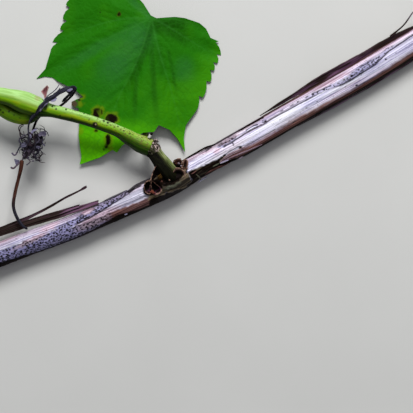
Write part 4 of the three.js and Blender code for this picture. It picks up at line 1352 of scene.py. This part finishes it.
# Main veins from the junction outwards, as pixels of the photo
MAIN_VEINS = [
    [(151, 19), (147, 34), (141, 52), (133, 70), (125, 85), (119, 98), (110, 120), (98, 142), (80, 163)],
    [(151, 19), (130, 29), (104, 40), (88, 50), (70, 62), (52, 72), (37, 78)],
    [(151, 19), (125, 19), (95, 25), (72, 33), (54, 41)], [(151, 19), (136, 8), (118, -6), (100, -14)],
    [(152, 19), (155, 35), (160, 55), (168, 80), (175, 105), (180, 128), (185, 150)],
    [(153, 19), (170, 28), (190, 40), (206, 49), (219, 54)], [(153, 18), (170, 19), (188, 22), (202, 29)],
]
# Painted shade in soft dark folds beside the veins, and a painted bluish sky reflection, with their
# half-width in pixels and strength
FOLD_SHADOWS = [
    ([(150, 32), (145, 50), (137, 70), (129, 86), (123, 98)], 4.5, 0.55),
    ([(139, 60), (136, 78), (135, 98), (135, 122)], 2.6, 0.5),
    ([(151, 45), (153, 65), (154, 88), (156, 112), (157, 122)], 3, 0.5),
    ([(168, 52), (172, 68), (174, 82), (178, 97)], 2, 0.4),
    ([(155, 25), (168, 30), (182, 38), (192, 48)], 7, 0.6),
    ([(158, 24), (172, 24), (184, 25), (194, 27)], 7, 0.7), ([(158, 50), (161, 64), (163, 78)], 5, 0.3),
]
SKY_SHEEN_LINES = [
    ([(140, 36), (122, 56), (110, 72), (100, 88)], 15, 0.85),
    ([(128, 34), (100, 46), (78, 60), (60, 70)], 6, 0.6),
    ([(184, 66), (186, 84)], 10, 0.6),
    ([(149, 15), (138, 6), (128, -4)], 4, 0.8),
]
# Where the blade is young and bright, as rows, columns and slanting lines of the photo between which it
# comes or goes; then its yellow and dead spots as u, v and radius, and the dry middle of one of them
YOUNG_ROWS, YOUNG_COLUMNS, YOUNG_SLANT = (112, 140), (122, 150), (225, 280)
DRY_SPOT = (74, 104, 5, 7)
YELLOW_SPOTS = [
    (82, 97, 3.4), (81, 104, 3), (79, 141, 2.6), (79, 131, 3.4), (119, 14, 1.6), (96.4, 130, 2),
    (102, 107.6, 1.8), (110, 148, 3), (80, 120, 2),
]
DEAD_SPOTS = [
    (119, 14, 2.4), (74, 104, 4.5), (96.4, 130.4, 2), (100, 12.5, 0.6), (106.4, 147, 2.4),
    (104, 149.4, 1.4), (108, 135.6, 1.4), (79, 100, 1.6),
]


def leaf_spot(degrees, reach):
    """The place in x and y at these degrees from the midrib and this far from the junction."""
    turn = math.radians(degrees - LEAF_TURN)
    return [LEAF_JUNCTION[0] + reach * math.sin(turn), LEAF_JUNCTION[1] - reach * math.cos(turn)]


def leaf_height(degrees, reach):
    """Height of the blade's middle: a fold along its ridge, falling to the ground on each side."""
    off = degrees - LEAF_RIDGE
    aside = np.where(np.abs(off) < 90, reach * np.abs(np.sin(np.radians(off))), reach)
    fall = smooth(aside, 0, np.where(off < 0, *LEAF_FALL))
    pucker = 0.3 * np.sin(np.radians(off * 9)) * smooth(reach, 8, 40) * (1 - fall)
    return blend(LEAF_TOP, LEAF_LOW, fall) + pucker


def leaf_polar(points):
    """Degrees from the midrib and distance from the junction, for points in x and y."""
    x, y = points[:, 0] - LEAF_JUNCTION[0], LEAF_JUNCTION[1] - points[:, 1]
    degrees = np.degrees(np.arctan2(x, y)) + LEAF_TURN
    return (degrees + 180) % 360 - 180, np.hypot(x, y)


def leaf_margin():
    """The blade's outline in x and y, with a curved dip between two teeth."""
    rim = []
    for here, after in zip(LEAF_MARGIN, LEAF_MARGIN[1:] + LEAF_MARGIN[:1]):
        rim.append(here[:2])
        if len(here) > 2 and len(after) > 2:
            for share, dip in LEAF_DIPS[here[0] > 0]:
                rim.append([blend(here[0], after[0], share), blend(here[1], after[1], share) * dip])
    base = [(degrees, LEAF_JUNCTION_R) for degrees in LEAF_BASE]
    return refine([leaf_spot(*place) for place in (*rim, *base)], LEAF_CELL)


def refine(loop, step):
    """A closed loop with points no further apart than this."""
    loop = [np.array(p, float) for p in loop]
    fine = []
    for a, b in zip(loop, loop[1:] + loop[:1]):
        parts = max(1, math.ceil(np.linalg.norm(b - a) / step))
        fine += [a + (b - a) * k / parts for k in range(parts)]
    return np.array(fine)


def hole_loop(start, end, r):
    heading = math.atan2(end[1] - start[1], end[0] - start[0])
    half_turn = np.linspace(0, math.pi, 10)
    ends = ((end, heading - math.pi / 2), (start, heading + math.pi / 2))
    return np.vstack([
        np.add(place, r * np.stack([np.cos(turn + half_turn), np.sin(turn + half_turn)], -1))
        for place, turn in ends
    ])


def inside_loop(points, loop):
    """Whether each point lies within a closed loop."""
    within = np.zeros(len(points), bool)
    for (ax, ay), (bx, by) in zip(loop, np.roll(loop, -1, axis=0)):
        if ay == by:
            continue
        crosses = (ay > points[:, 1]) != (by > points[:, 1])
        within ^= crosses & (points[:, 0] < (bx - ax) * (points[:, 1] - ay) / (by - ay) + ax)
    return within


def sheet(name, rim, holes, cell, thickness, lift):
    """A thin blade that fills an outline, with even cells. lift gives heights and marks at its points."""
    low, high = rim.min(axis=0), rim.max(axis=0)
    rows = np.arange(low[1], high[1], cell * 0.866)
    field = np.array([
        [x + (k % 2) * cell / 2, y] for k, y in enumerate(rows) for x in np.arange(low[0], high[0], cell)
    ])
    keep = inside_loop(field, rim)
    for loop in (rim, *holes):
        keep &= line_gap(field, closed(loop))[0] > 0.42 * cell
        if loop is not rim:
            keep &= ~inside_loop(field, loop)
    points, edges = [], []
    for loop in (rim, *holes):
        first = len(points)
        points += list(loop)
        edges += [(first + k, first + (k + 1) % len(loop)) for k in range(len(loop))]
    made = delaunay_2d_cdt([Vector(p) for p in (*points, *field[keep])], edges, [], 2, 1e-5)
    flat = np.array([tuple(p) for p in made[0]])
    height, marks = lift(flat)
    mesh = bpy.data.meshes.new(name)
    mesh.from_pydata((np.column_stack([flat, height]) * MM).tolist(), [], made[2])
    piece = bpy.data.objects.new(name, mesh)
    bpy.context.scene.collection.objects.link(piece)
    mark(piece, **marks)
    thicken(piece, thickness)
    close_up(piece)
    return piece


def leaf_veins(points):
    """Distance in mm from each point to the nearest main vein and to the nearest side vein."""
    main, side = np.full(len(points), 99.0), np.full(len(points), 99.0)
    for pixels in MAIN_VEINS:
        route = Line([spot(u, v, 4) for u, v in pixels])
        gap, share = line_gap(points, route.at(np.linspace(0, 1, 24))[:, :2])
        main = np.minimum(main, gap + 0.5 * share)
        for k in range(SIDE_VEINS):
            start = 0.1 + 0.095 * k
            base, heading = route.at([start])[0][:2], route.heading(np.array([start]))[0][:2]
            reach = route.length * (0.36 - 0.25 * abs(start - 0.45)) * (1 - 0.55 * start)
            steps = np.linspace(0, 1, 6)
            for way in (-1, 1):
                bend = math.radians(way * (48 - 2 * k)) - way * 0.35 * steps
                x = heading[0] * np.cos(bend) - heading[1] * np.sin(bend)
                y = heading[0] * np.sin(bend) + heading[1] * np.cos(bend)
                gap, share = line_gap(points, base + np.stack([x, y], -1) * (steps * reach)[:, None])
                side = np.minimum(side, gap + 0.4 * share)
    return main, side


def leaf_lift(flat):
    """The blade's height, and where it has a painted sky reflection, is young, has painted shade in its
    folds, is scorched or veined.
    """
    degrees, reach = leaf_polar(flat)
    main, side = leaf_veins(flat)
    level = np.column_stack([flat, 0 * main])
    height = leaf_height(degrees, reach)
    height += 0.8 * smooth(main, 0.1, 7) + 0.25 * smooth(side, 0.1, 2.6) - 0.6
    height += 0.12 * noise(level, 3.2, 81, 2)
    height = np.maximum(height, LOWEST + LEAF_SKIN / 2)
    at = pixel_of(np.column_stack([flat, height]))
    stirred = at + 0.8 * noise(level, 5, 84, 2)[:, None]
    bloom, deep = np.zeros(len(flat)), np.zeros(len(flat))
    for routes, found in ((SKY_SHEEN_LINES, bloom), (FOLD_SHADOWS, deep)):
        for route, half, most in routes:
            gap, share = line_gap(stirred, route)
            here = most * fade(gap, 0.2 * half, 1.5 * half) * (1 - 0.8 * smooth(share, 0.6, 1))
            found[:] = np.maximum(found, here)
    young = smooth(at[:, 1], *YOUNG_ROWS) * (1 - 0.5 * smooth(at[:, 0], *YOUNG_COLUMNS))
    young = np.maximum(young, 0.2 * smooth(at[:, 0] + 0.9 * at[:, 1], *YOUNG_SLANT))
    young = np.clip(young + 0.15 * noise(level, 9, 82, 2), 0, 1)
    fine = noise(level, 1.4, 83)
    holes = [line_gap(flat, closed(hole_loop(*hole)))[0] + 0.7 * fine for hole in LEAF_HOLES]
    yellow = np.maximum.reduce(
        [0.5 * fade(gap, 0.4, 2) for gap in holes]
        + [0.5 * fade(spot_gap(at, (u, v)) + 1.5 * fine, 0.4 * r, 1.4 * r) for u, v, r in YELLOW_SPOTS]
    )
    dead = np.maximum.reduce(
        [fade(gap, 0.1, 0.6) for gap in holes]
        + [0.95 * fade(spot_gap(at, (u, v)) + 0.5 * fine, 0.5 * r, 1.1 * r) for u, v, r in DEAD_SPOTS]
    )
    veins = np.maximum(0.3 * fade(main, 0.2, 0.8), 0.1 * fade(side, 0.1, 0.5))
    return height, {
        "grain": level, "bloom": bloom, "deep": deep, "young": young, "dead": dead, "yellow": yellow,
        "vein": veins, "dry": spot_mark(at, *DRY_SPOT),
    }


def make_leaf():
    holes = [hole_loop(*hole) for hole in LEAF_HOLES]
    blade = sheet("leaf_skin", leaf_margin(), holes, LEAF_CELL, LEAF_SKIN, leaf_lift)
    return dress(blade, "leaf_blade", "leaf")


# The petiole, from under the ring to the junction behind the blade
PETIOLE_LINE = [
    [-24.8, -9.8, 9.8], [-26.2, -7, 6.6], [-27.6, -2.6, 4], [-29.2, 5, 2.2], [-30.4, 18, 1.9],
    [-28.8, 33, 2.2], [-25.8, 44, 3.1], [-24.5, 47.8, 4.2], [*LEAF_JUNCTION, 5],
]
PETIOLE_RADII = [[0, 1.5], [0.12, 1.15], [1, 1.15]]


def make_petiole():
    line = Line(PETIOLE_LINE)

    def radius(along, turn, grain):
        r = along_pairs(PETIOLE_RADII, along / line.length)
        return r + 0.04 * noise(grain, (9, 0.7, 0.7), 91, 2)

    marks = lambda points, grain, turn, out: {
        # deep is painted shade, strong where the petiole starts under the ring and weaker along the rest
        "deep": along_pairs([[0.1, 0.9], [0.4, 0.35]], grain[:, 0] / line.length), "aged": 0.3 + 0 * turn,
    }
    piece = tube("petiole_skin", line, radius, 150, 20, level=False, marks=marks)
    return dress(piece, "green_bark", "petiole")


# Husks, scales and the bud at the node: rims as pixels of the photo, with heights
HUSK_CUPS = [
    {"rim": [
        (143.8, 185), (145.8, 181.8), (149.7, 180.2), (150.4, 184), (150.2, 189), (150.8, 193.3),
        (147.5, 193.8), (144.4, 190.5),
    ], "height": 13.0, "depth": 4.0},
    {"rim": [
        (150.9, 180), (154, 182), (157.6, 185), (160.8, 188), (161.6, 191), (158.6, 194.3),
        (154, 195), (151.6, 190.5), (150.7, 185),
    ], "height": 13.3, "depth": 4.2},
]
CURLS = {
    "bud_scale_left": [{
        "rim": [
            (158.8, 164.8, 13.4), (155.5, 166.8, 14), (153.4, 171, 14), (151.8, 176, 13.6),
            (150.8, 180.5, 13.2),
        ],
        "foot": [(161.5, 170, 9.5), (159, 171.5, 9), (157, 174, 9), (155.5, 178, 9.3), (153.5, 182, 9.6)],
        "bulge": 0.7,
    }],
    "bud_scale_right": [{
        "rim": [
            (173, 171.4, 13.2), (176.2, 168.3, 13.8), (180.4, 168.2, 13.8), (183.8, 170.2, 13.4),
            (185.4, 173.4, 12.8), (184.8, 177.6, 12), (182, 181, 11.4),
        ],
        "foot": [
            (172.4, 174, 10.5), (176, 172.2, 10.4), (179.4, 172.4, 10), (181.4, 174, 9.8),
            (182.2, 176, 9.6), (181.4, 178.4, 9.4), (179, 180, 9.4),
        ],
        "bulge": 0.5,
    }],
    "bud_scale_upper": [
        {
            "rim": [
                (183, 166.5, 13.2), (183.4, 161.5, 14), (185.2, 159, 14.3), (187.4, 161, 14.1),
                (187.9, 165, 13.6), (187, 169.5, 13),
            ],
            "foot": [
                (182.5, 168, 11.4), (184, 165, 11.4), (185, 163.5, 11.4), (185.8, 164.5, 11.4),
                (186, 167, 11.2), (185.5, 170, 11),
            ],
            "bulge": 0.3,
        },
        {
            "rim": [
                (173.6, 161.5, 12.3), (176, 159.2, 13.2), (179.5, 158.8, 13.8),
                (182, 160.3, 13.8), (182.4, 164, 13.2),
            ],
            "foot": [
                (175.5, 164, 11), (177.5, 162.5, 11), (179.5, 162, 11), (180.8, 163, 11),
                (181, 165.5, 11),
            ],
            "bulge": 0.3,
        },
    ],
}
# Lumps at the node: pixel, height, size in mm, kind and how much of it
NODE_CRUMBS = [
    (151.3, 191.8, 13.3, 0.55, "rusty", 0.9), (153.6, 192.8, 13.2, 0.6, "rusty", 0.8),
    (152.4, 190.8, 13, 0.4, "rusty", 0.7), (156.8, 194, 12.9, 0.4, "rim", 0.7),
    (155.2, 193.8, 12.8, 0.45, "rusty", 0.5), (148.5, 192, 12.6, 0.45, "dark", 0.7),
    (178.8, 163.4, 12.5, 0.42, "pale", 0.3), (181.2, 165.8, 12.7, 0.34, "pale", 0.5),
    (182.2, 167.6, 12.9, 0.4, "rim", 0.7), (169.4, 180.2, 12.4, 0.34, "rim", 0.7),
    (184.4, 168.6, 13, 0.4, "rusty", 0.3), (176.5, 160.4, 12.6, 0.4, "rusty", 0.3),
    (174.8, 161.4, 12.2, 0.4, "rusty", 0.3), (180, 158.8, 12.6, 0.36, "rusty", 0.2),
    # The three large lumps low down are dark fills in the gaps under the scales: painted shade
    (178.2, 163, 10.4, 1.9, "dark", 0.7), (178.4, 175.6, 10.2, 1.7, "dark", 0.9),
    (158.8, 172.4, 8.8, 1.7, "dark", 0.9), (176.2, 163, 11.8, 0.6, "rusty", 0.35),
    (161.8, 181.4, 12.4, 0.4, "rusty", 0.15), (164.5, 184, 12.6, 0.45, "dark", 0.8),
]
# A cup's profile: shares of its rim and of its depth, up its outside and down inside
CUP_OUTSIDE = [(0, -1), (0.3, -0.99), (0.55, -0.93), (0.75, -0.75), (0.9, -0.45), (0.98, -0.15), (1, 0)]
CUP_INSIDE = [(0.86, 0), (0.84, -0.15), (0.76, -0.45), (0.61, -0.7), (0.35, -0.82), (0, -0.86)]
CUP_RINGS, CUP_SIDES = 48, 64
CURL_GRID = (60, 18)
CURL_SKIN = 0.32
BUD_LINE = [[-20.9, -23.4, 9], [-20.8, -22.6, 11], [-20.6, -21.8, 12.2], [-20.4, -21, 13]]
BUD_RADII = [[0, 1.1], [0.5, 1.05], [1, 0.3]]


def cup_piece(name, cup, seed):
    """An open dried cup: up its outside, over a ragged lip and down inside."""
    depth = cup["depth"]
    outline = Line([spot(u, v, cup["height"]) for u, v in (*cup["rim"], cup["rim"][0])])
    middle = outline.points.mean(axis=0)
    profile = np.array(CUP_OUTSIDE + CUP_INSIDE, float)
    fine = np.linspace(0, len(profile) - 1, CUP_RINGS + 1)
    scale, level = (np.interp(fine, range(len(profile)), part) for part in profile.T)
    level = level * depth

    def place(row, column):
        a = 2 * math.pi * column / CUP_SIDES
        ring = np.stack([np.cos(a) * 2, np.sin(a) * 2, 0 * a], -1)
        lip = smooth(level[row], -0.5 * depth, 0)
        jag = lip * (0.85 * noise(ring, 0.7, seed, 3) + 0.3 * np.sin(2 * a + 1))
        reach = (outline.at(column / CUP_SIDES) - middle) * scale[row][:, None]
        dent = noise(np.column_stack([ring[:, :2] * 2, level[row] / 3]), 0.8, seed + 1, 2)
        reach = reach * (1 + 0.06 * dent)[:, None]
        points = middle + reach
        points[:, 2] = middle[2] + level[row] + jag
        within = (fine[row] > len(CUP_OUTSIDE) - 0.5).astype(float)
        left = reach[:, 1] - reach[:, 0]
        worn = noise(ring, 0.6, seed + 4)
        return points, {
            "grain": np.stack([level[row], *reach[:, :2].T], -1),
            "rim": 0.8 * smooth(level[row] / depth, -0.05, 0) * smooth(worn, -0.4, 0.5),
            "wine": within * smooth(-left, 0.2, 2.0),
            # Painted shade deep inside the cup, on one side of it
            "dark": within * smooth(-level[row] / depth, 0.1, 0.35) * smooth(left, -2.4, -0.4),
        }

    piece = grid_piece(name, CUP_RINGS, CUP_SIDES, place)
    close_up(piece)
    return piece


def curl_piece(name, curl, seed, **kinds):
    """A dried scale between its rim and its foot, with painted shade inside and bleached along the rim."""
    high, low = (Line([spot(*p) for p in curl[end]]) for end in ("rim", "foot"))
    rows, columns = CURL_GRID

    def place(row, column):
        s, t = row / rows, column / columns
        edge = np.stack([s * high.length, 0 * s, 0 * s], -1)
        t = t * (1 + 0.14 * noise(edge, 0.9, seed, 3))
        a, b = low.at(s), high.at(s)
        out = np.cross(high.heading(s), b - a)
        out /= np.linalg.norm(out, axis=1, keepdims=True)
        grain = np.stack([t * 3, s * high.length, 0 * s], -1)
        bulge = curl["bulge"] * np.sin(np.pi * t) + 0.14 * noise(grain, (3, 0.8, 0.8), seed + 1, 2)
        points = blend(a, b, t[:, None]) + out * bulge[:, None]
        return points, {
            # Painted shade over the scale from its foot to near its rim
            "grain": grain, "dark": 0.92 * smooth(0.84 - t, 0, 0.2),
            "rim": 0.85 * smooth(t, 0.74, 0.94) * smooth(noise(edge, 1.5, seed + 2, 2), -0.7, 0.2),
            **{kind: value + 0 * s for kind, value in kinds.items()},
        }

    piece = grid_piece(name, rows, columns, place)
    thicken(piece, CURL_SKIN)
    close_up(piece)
    return piece


def make_node():
    parts = [cup_piece(f"husk_{k}", cup, 101 + 7 * k) for k, cup in enumerate(HUSK_CUPS)]
    for k, (u, v, height, size, kind, amount) in enumerate(NODE_CRUMBS):
        parts.append(crumb(u, v, height, size, 300 + k, (1.2, 0.9, 0.7), **{kind: amount}))
    dress(join("bud_husk_skin", parts), "dry_scale", "bud_husk")
    for number, (name, curls) in enumerate(CURLS.items()):
        # The upper scales carry only a little painted shade all over, and some rust
        kinds = {"dark": 0.25, "rusty": 0.2} if name == "bud_scale_upper" else {}
        seed = 121 + 10 * number
        parts = [curl_piece(f"{name}_{k}", curl, seed + 3 * k, **kinds) for k, curl in enumerate(curls)]
        dress(join(name + "_skin", parts), "dry_scale", name)
    line = Line(BUD_LINE)
    shape = lambda along, turn, grain: (
        along_pairs(BUD_RADII, along / line.length) + 0.12 * noise(grain, (2, 0.6, 0.6), 161, 2)
    )
    marks = lambda points, grain, turn, out: {
        # Painted shade on the side away from the light
        "amber": 1 + 0 * turn, "dark": 0.7 * smooth(-out[:, 1], -0.2, 0.5),
    }
    bud = tube("bud_skin", line, shape, 30, 24, level=False, marks=marks)
    dress(bud, "dry_scale", "bud")


# The dried tendril: strands as pixels of the photo, their heights along them, radius in mm, how flat
# they are, and how much of them is rusty and pale
STRANDS = [
    ([(30, 121.5), (34, 115), (38.5, 110.5), (41, 106.5), (45, 102.6), (48, 99.6), (54, 96.2), (60, 91.6),
      (65, 89.2), (70, 88), (74, 87), (76.5, 89)],
     [[0, 16], [0.16, 20.6], [0.3, 21.8], [0.5, 20.8], [1, 19.6]], 0.95, 0.4, 0.0, 0.05),
    ([(40, 111.5), (42.2, 107.6), (45.6, 104.2), (48.6, 101.6)],
     [[0, 21.4], [0.6, 21.8], [1, 20.8]], 0.5, 0.5, 0.1, 0.35),
    ([(34.6, 114.4), (31.2, 118.6), (29, 124), (28.3, 129), (28.8, 134), (29, 139), (27.5, 143), (23, 145),
      (20, 147), (18.3, 150), (17, 152.5)],
     [[0, 20.8], [0.12, 18.6], [0.3, 15.4], [1, 14.2]], 0.4, 0.9, 0.0, 0.12),
    ([(76.5, 88.5), (74, 93), (70, 97.5), (63, 104), (56, 108.5), (48, 111.5), (41, 115.5), (36, 122),
      (33, 130), (31, 138), (28, 147), (24, 156)],
     [[0, 18.6], [0.25, 13], [0.45, 11.6], [0.6, 12], [1, 13.4]], 0.5, 0.7, 0.2, 0.0),
    ([(74.5, 88.5), (71, 93), (67, 97), (62, 102)], [[0, 18.8], [1, 14.6]], 0.6, 0.6, 0.0, 0.04),
    ([(59, 84.5), (57, 88), (53.5, 91.5), (48, 95.6), (43, 101)],
     [[0, 20.6], [1, 20.8]], 0.2, 1, 0.2, 0.25),
    ([(60.5, 87.5), (57, 91.5), (53, 94)], [[0, 20.4], [1, 20.4]], 0.18, 1, 0.2, 0.2),
    ([(28, 134.5), (24, 135.5), (21, 137.5), (19, 140.5), (20, 143), (23, 144.2)],
     [[0, 14.4], [1, 15.4]], 0.26, 1, 0.1, 0.2),
    ([(30.4, 138.6), (31.3, 134), (33.2, 131), (36.8, 129.3)], [[0, 15], [1, 15.6]], 0.5, 0.6, 0.0, 0.75),
    ([(38, 137), (39.2, 140), (36.5, 143.5), (35.3, 146.4)], [[0, 14.8], [1, 14.4]], 0.24, 1, 0.1, 0.2),
    ([(43, 138.6), (42.2, 142.8), (45.2, 146.2)], [[0, 14.6], [1, 14.2]], 0.34, 0.8, 0.0, 0.25),
    ([(34.2, 150.6), (32.4, 153), (35, 156), (39.4, 158.6)], [[0, 14.4], [1, 13.8]], 0.26, 1, 0.3, 0.1),
    ([(39.6, 149.4), (42.2, 153), (40, 157.2)], [[0, 14.2], [1, 13.8]], 0.24, 1, 0.1, 0.1),
    ([(26.6, 157.6), (30.2, 161.4), (26.8, 165)], [[0, 13.8], [1, 13]], 0.26, 1, 0.3, 0.15),
    ([(12, 153.2), (14.4, 155.2), (17.4, 153)], [[0, 14.4], [1, 14.2]], 0.34, 1, 0.5, 0.3),
    ([(10.8, 167.8), (13.6, 168.2), (17, 165), (21.6, 160.4)],
     [[0, 12.6], [1, 13.8]], 0.42, 0.8, 0.8, 0.25),
    ([(24.5, 140.5), (28, 144), (25, 149), (27, 154), (22.5, 159.5)],
     [[0, 15], [1, 13.8]], 0.6, 0.8, 0.1, 0.02),
    ([(32, 136), (29, 142), (33, 148), (29, 153), (25.5, 159)],
     [[0, 14.6], [1, 13.8]], 0.6, 0.7, 0.2, 0.04),
    ([(37, 136), (40, 142), (35, 147), (38, 152), (31, 158)], [[0, 14], [1, 13.4]], 0.55, 0.6, 0.05, 0.02),
    ([(21, 149), (26, 151.5), (32, 149), (38, 150.5), (42, 147.5)],
     [[0, 13.8], [1, 13.2]], 0.5, 0.7, 0.1, 0.1),
    ([(22.5, 143), (29, 147.5), (36, 145), (41, 141)], [[0, 13.4], [1, 14.2]], 0.5, 0.7, 0.1, 0.0),
]
# Torn scraps of its skin: outline as pixels of the photo, height, and how rusty and how pale
SCRAPS = [
    ([(50.4, 101.2), (52, 98.6), (55, 96.8), (57.2, 98.2), (55.6, 101), (52.6, 102)], 20.4, 0.0, 0.95),
    ([(38, 134.6), (41, 131.4), (44.6, 131), (46.8, 134), (45, 136.8), (42, 135.4), (39.6, 137)],
     15, 0.35, 0.4),
    ([(14, 158.8), (19.4, 160.2), (18, 165), (15.6, 164.4)], 13.6, 0.0, 0.45),
    ([(66.6, 91.2), (68, 89.4), (72, 88), (73, 89.6), (69.6, 91.6)], 20.2, 0.0, 0.8),
    ([(20.4, 145.8), (24, 142.2), (28, 142.4), (26, 146.6), (22, 148.2)], 15.2, 0.0, 0.3),
    # The last three are dark sheets that fill the darkest parts of the tangle and the band: painted shade
    ([(24, 149), (30, 144), (34, 147), (33, 152), (29, 156), (25, 154)], 12.8, 0.05, 0.0),
    ([(34, 134), (41, 133), (44, 140), (40, 147), (34, 143)], 13.4, 0.05, 0.02),
    ([(58, 90), (66, 86.4), (75, 86), (76, 90), (70, 95), (66, 91.6), (61, 94)], 18.8, 0.05, 0.03),
]
TANGLE_CRUMBS = [
    (38, 147.4, 14.6, 0.8, 0.0, 0.3), (25.2, 150.8, 14.6, 0.4, 0.5, 0.5),
    (26.2, 147.6, 14.8, 0.3, 0.3, 0.4), (12.3, 153.2, 14.4, 0.4, 0.5, 0.4), (33, 161, 13.8, 0.4, 0.5, 0.4),
    (27, 164.6, 13.2, 0.36, 0.4, 0.4), (17, 152.6, 14.2, 0.4, 0.6, 0.3), (28.4, 157.6, 14, 0.4, 0.1, 0.2),
    (11.4, 167.4, 12.8, 0.4, 0.4, 0.5),
]
# The wisps of the tangle: how many, and where their middles lie in pixels of the photo and mm of height
WISPS = 48
TANGLE = ((20, 44), (129, 159), (12.6, 14.8))
WISP_PALE = (0, 0, 0, 0.02, 0.1)
SCRAP_CELL, SCRAP_SKIN = 0.3, 0.25
STEM_LINE = [
    [-80, -45.6, 9.4], [-81.2, -44.9, 9.8], [-83, -42.9, 10.6], [-84.9, -39.5, 11.4],
    [-86, -35.3, 11.8], [-85.2, -29.5, 12.2], [-83.7, -23.7, 12.8], [-82.4, -18.4, 13.2],
    [-81.9, -14.9, 13.6],
]
STEM_RADII = [[0, 0.5], [0.15, 0.75], [0.7, 0.75], [1, 0.95]]
BRACT_HEIGHT, BRACT_SKIN = 19.6, 0.3
BRACT = [(41, 91.6), (44, 88), (47.2, 85.2), (48.8, 87.4), (47.2, 92), (46.4, 97), (44.8, 99.4), (43.6, 95)]


def strand(name, line, thick, flat, rusty, pale, seed):
    """A thin wrinkled strand, thicker in the middle than at its ends."""
    shape = lambda along, turn, grain: (
        thick * along_pairs([[0, 0.75], [0.15, 1], [0.8, 1], [1, 0.6]], along / line.length)
        * (1 + 0.2 * noise(grain, (2.5, 0.6, 0.6), seed, 2))
    )
    marks = lambda points, grain, turn, out: {
        "rusty": rusty + 0 * turn,
        # Pale patches, a little stronger on the upper side as painted highlight
        "pale": np.clip(pale * (1 + 0.9 * noise(grain, (4, 0.5, 0.5), seed + 1) + 0.15 * out[:, 1]), 0, 1),
    }
    rows = max(24, round(line.length * 5))
    return tube(name, line, shape, rows, 12, (0.2, 0.2), marks=marks, flat=flat)


def make_tendril():
    stem = Line(STEM_LINE)
    shape = lambda along, turn, grain: (
        along_pairs(STEM_RADII, along / stem.length) + 0.07 * noise(grain, (5, 0.5, 0.5), 171, 2)
    )
    marks = lambda points, grain, turn, out: {
        "rusty": smooth(grain[:, 0] / stem.length, 0.3, 0.6),
        "pale": 0.04 * smooth(0.4 - grain[:, 0] / stem.length, 0, 0.2),
    }
    piece = tube("tendril_stem_skin", stem, shape, 130, 20, level=False, marks=marks)
    dress(piece, "tendril", "tendril_stem")
    parts = []
    for k, (pixels, heights, thick, flat, rusty, pale) in enumerate(STRANDS):
        levels = along_pairs(heights, np.linspace(0, 1, len(pixels)))
        line = Line([spot(u, v, level) for (u, v), level in zip(pixels, levels)])
        parts.append(strand("strand", line, thick, flat, rusty, pale, 180 + k))
    for k, (pixels, height, rusty, pale) in enumerate(SCRAPS):
        rim = refine([spot(u, v, height)[:2] for u, v in pixels], SCRAP_CELL)

        def lift(flat):
            even = 0 * flat[:, 0]
            level = np.column_stack([flat, even])
            kinds = {"grain": level, "rusty": rusty + even, "pale": pale + even}
            return height + 0.5 * noise(level, 1.6, 400 + k, 2), kinds

        parts.append(sheet("scrap", rim, [], SCRAP_CELL, SCRAP_SKIN, lift))
    for k, (u, v, height, size, rusty, pale) in enumerate(TANGLE_CRUMBS):
        parts.append(crumb(u, v, height, size, 420 + k, (1.2, 0.8, 0.35), rusty=rusty, pale=pale))
    random.seed(23)
    for k in range(WISPS):
        centre = np.array(spot(*(random.uniform(*limits) for limits in TANGLE)))
        start, spread = random.uniform(0, 2 * math.pi), random.uniform(1, 3)
        turns = [start + step * random.uniform(0.7, 1.2) for step in range(5)]
        track = [
            centre + [0.8 * spread * math.cos(t), spread * math.sin(t), random.uniform(-0.8, 0.8)]
            for t in turns
        ]
        pale = random.choice(WISP_PALE)
        thick, rusty = random.uniform(0.12, 0.26), random.uniform(0, 0.3)
        parts.append(strand("wisp", Line(track), thick, 1, rusty, pale, 440 + k))
    dress(join("tendril_coil_skin", parts), "tendril", "tendril_coil")
    rim = refine([spot(u, v, BRACT_HEIGHT)[:2] for u, v in BRACT], SCRAP_CELL)

    def cupped(flat):
        level = np.column_stack([flat, 0 * flat[:, 0]])
        gap = line_gap(flat, closed(rim))[0]
        height = BRACT_HEIGHT - 0.7 * smooth(gap, 0, 1.4) + 0.4 * noise(level, 2, 151, 2)
        return height, {"grain": level[:, [1, 0, 2]], "rim": fade(gap, 0.1, 0.5)}

    dress(sheet("dry_bract_skin", rim, [], SCRAP_CELL, BRACT_SKIN, cupped), "bract", "dry_bract")


# Floor, light and camera: sizes in metres, powers in watts, the sensor in mm
FLOOR_SIZE = 6
SKY, SKY_STRENGTH = "#eef2ff", 0.17
LAMPS = {"key": ((0.06, 0.82, 0.88), 0.5, 18.5), "top": ((0.1, 0.1, 1.1), 0.9, 1.8)}
SENSOR = 36


def make_stage():
    select_none()
    bpy.ops.mesh.primitive_plane_add(size=FLOOR_SIZE, location=(0, 0, 0))
    floor = bpy.context.object
    floor.name = "floor"
    floor.data.materials.append(floor_paper())
    world = bpy.data.worlds.new("Studio")
    bpy.context.scene.world = world
    world.use_nodes = True
    world.node_tree.nodes["Background"].inputs["Color"].default_value = colour(SKY)
    world.node_tree.nodes["Background"].inputs["Strength"].default_value = SKY_STRENGTH
    for name, (place, size, power) in LAMPS.items():
        bpy.ops.object.light_add(type="AREA", location=place)
        lamp = bpy.context.object
        lamp.name = name
        lamp.data.size = size
        lamp.data.energy = power
        lamp.rotation_euler = (-Vector(place)).to_track_quat("-Z", "Y").to_euler()
    scene = bpy.context.scene
    scene.view_settings.view_transform = "Standard"
    camera = bpy.data.objects.new("camera", bpy.data.cameras.new("camera"))
    scene.collection.objects.link(camera)
    camera.location = (PHOTO_CENTRE[0] * MM, PHOTO_CENTRE[1] * MM, (CANE_MIDDLE + CAMERA_REACH) * MM)
    camera.data.sensor_width = SENSOR
    camera.data.lens = SENSOR * CAMERA_REACH / (PHOTO_SIZE * PIXEL)
    scene.camera = camera


make_cane()
make_loose_bark()
make_shoot()
make_petiole()
make_leaf()
make_node()
make_tendril()
make_stage()
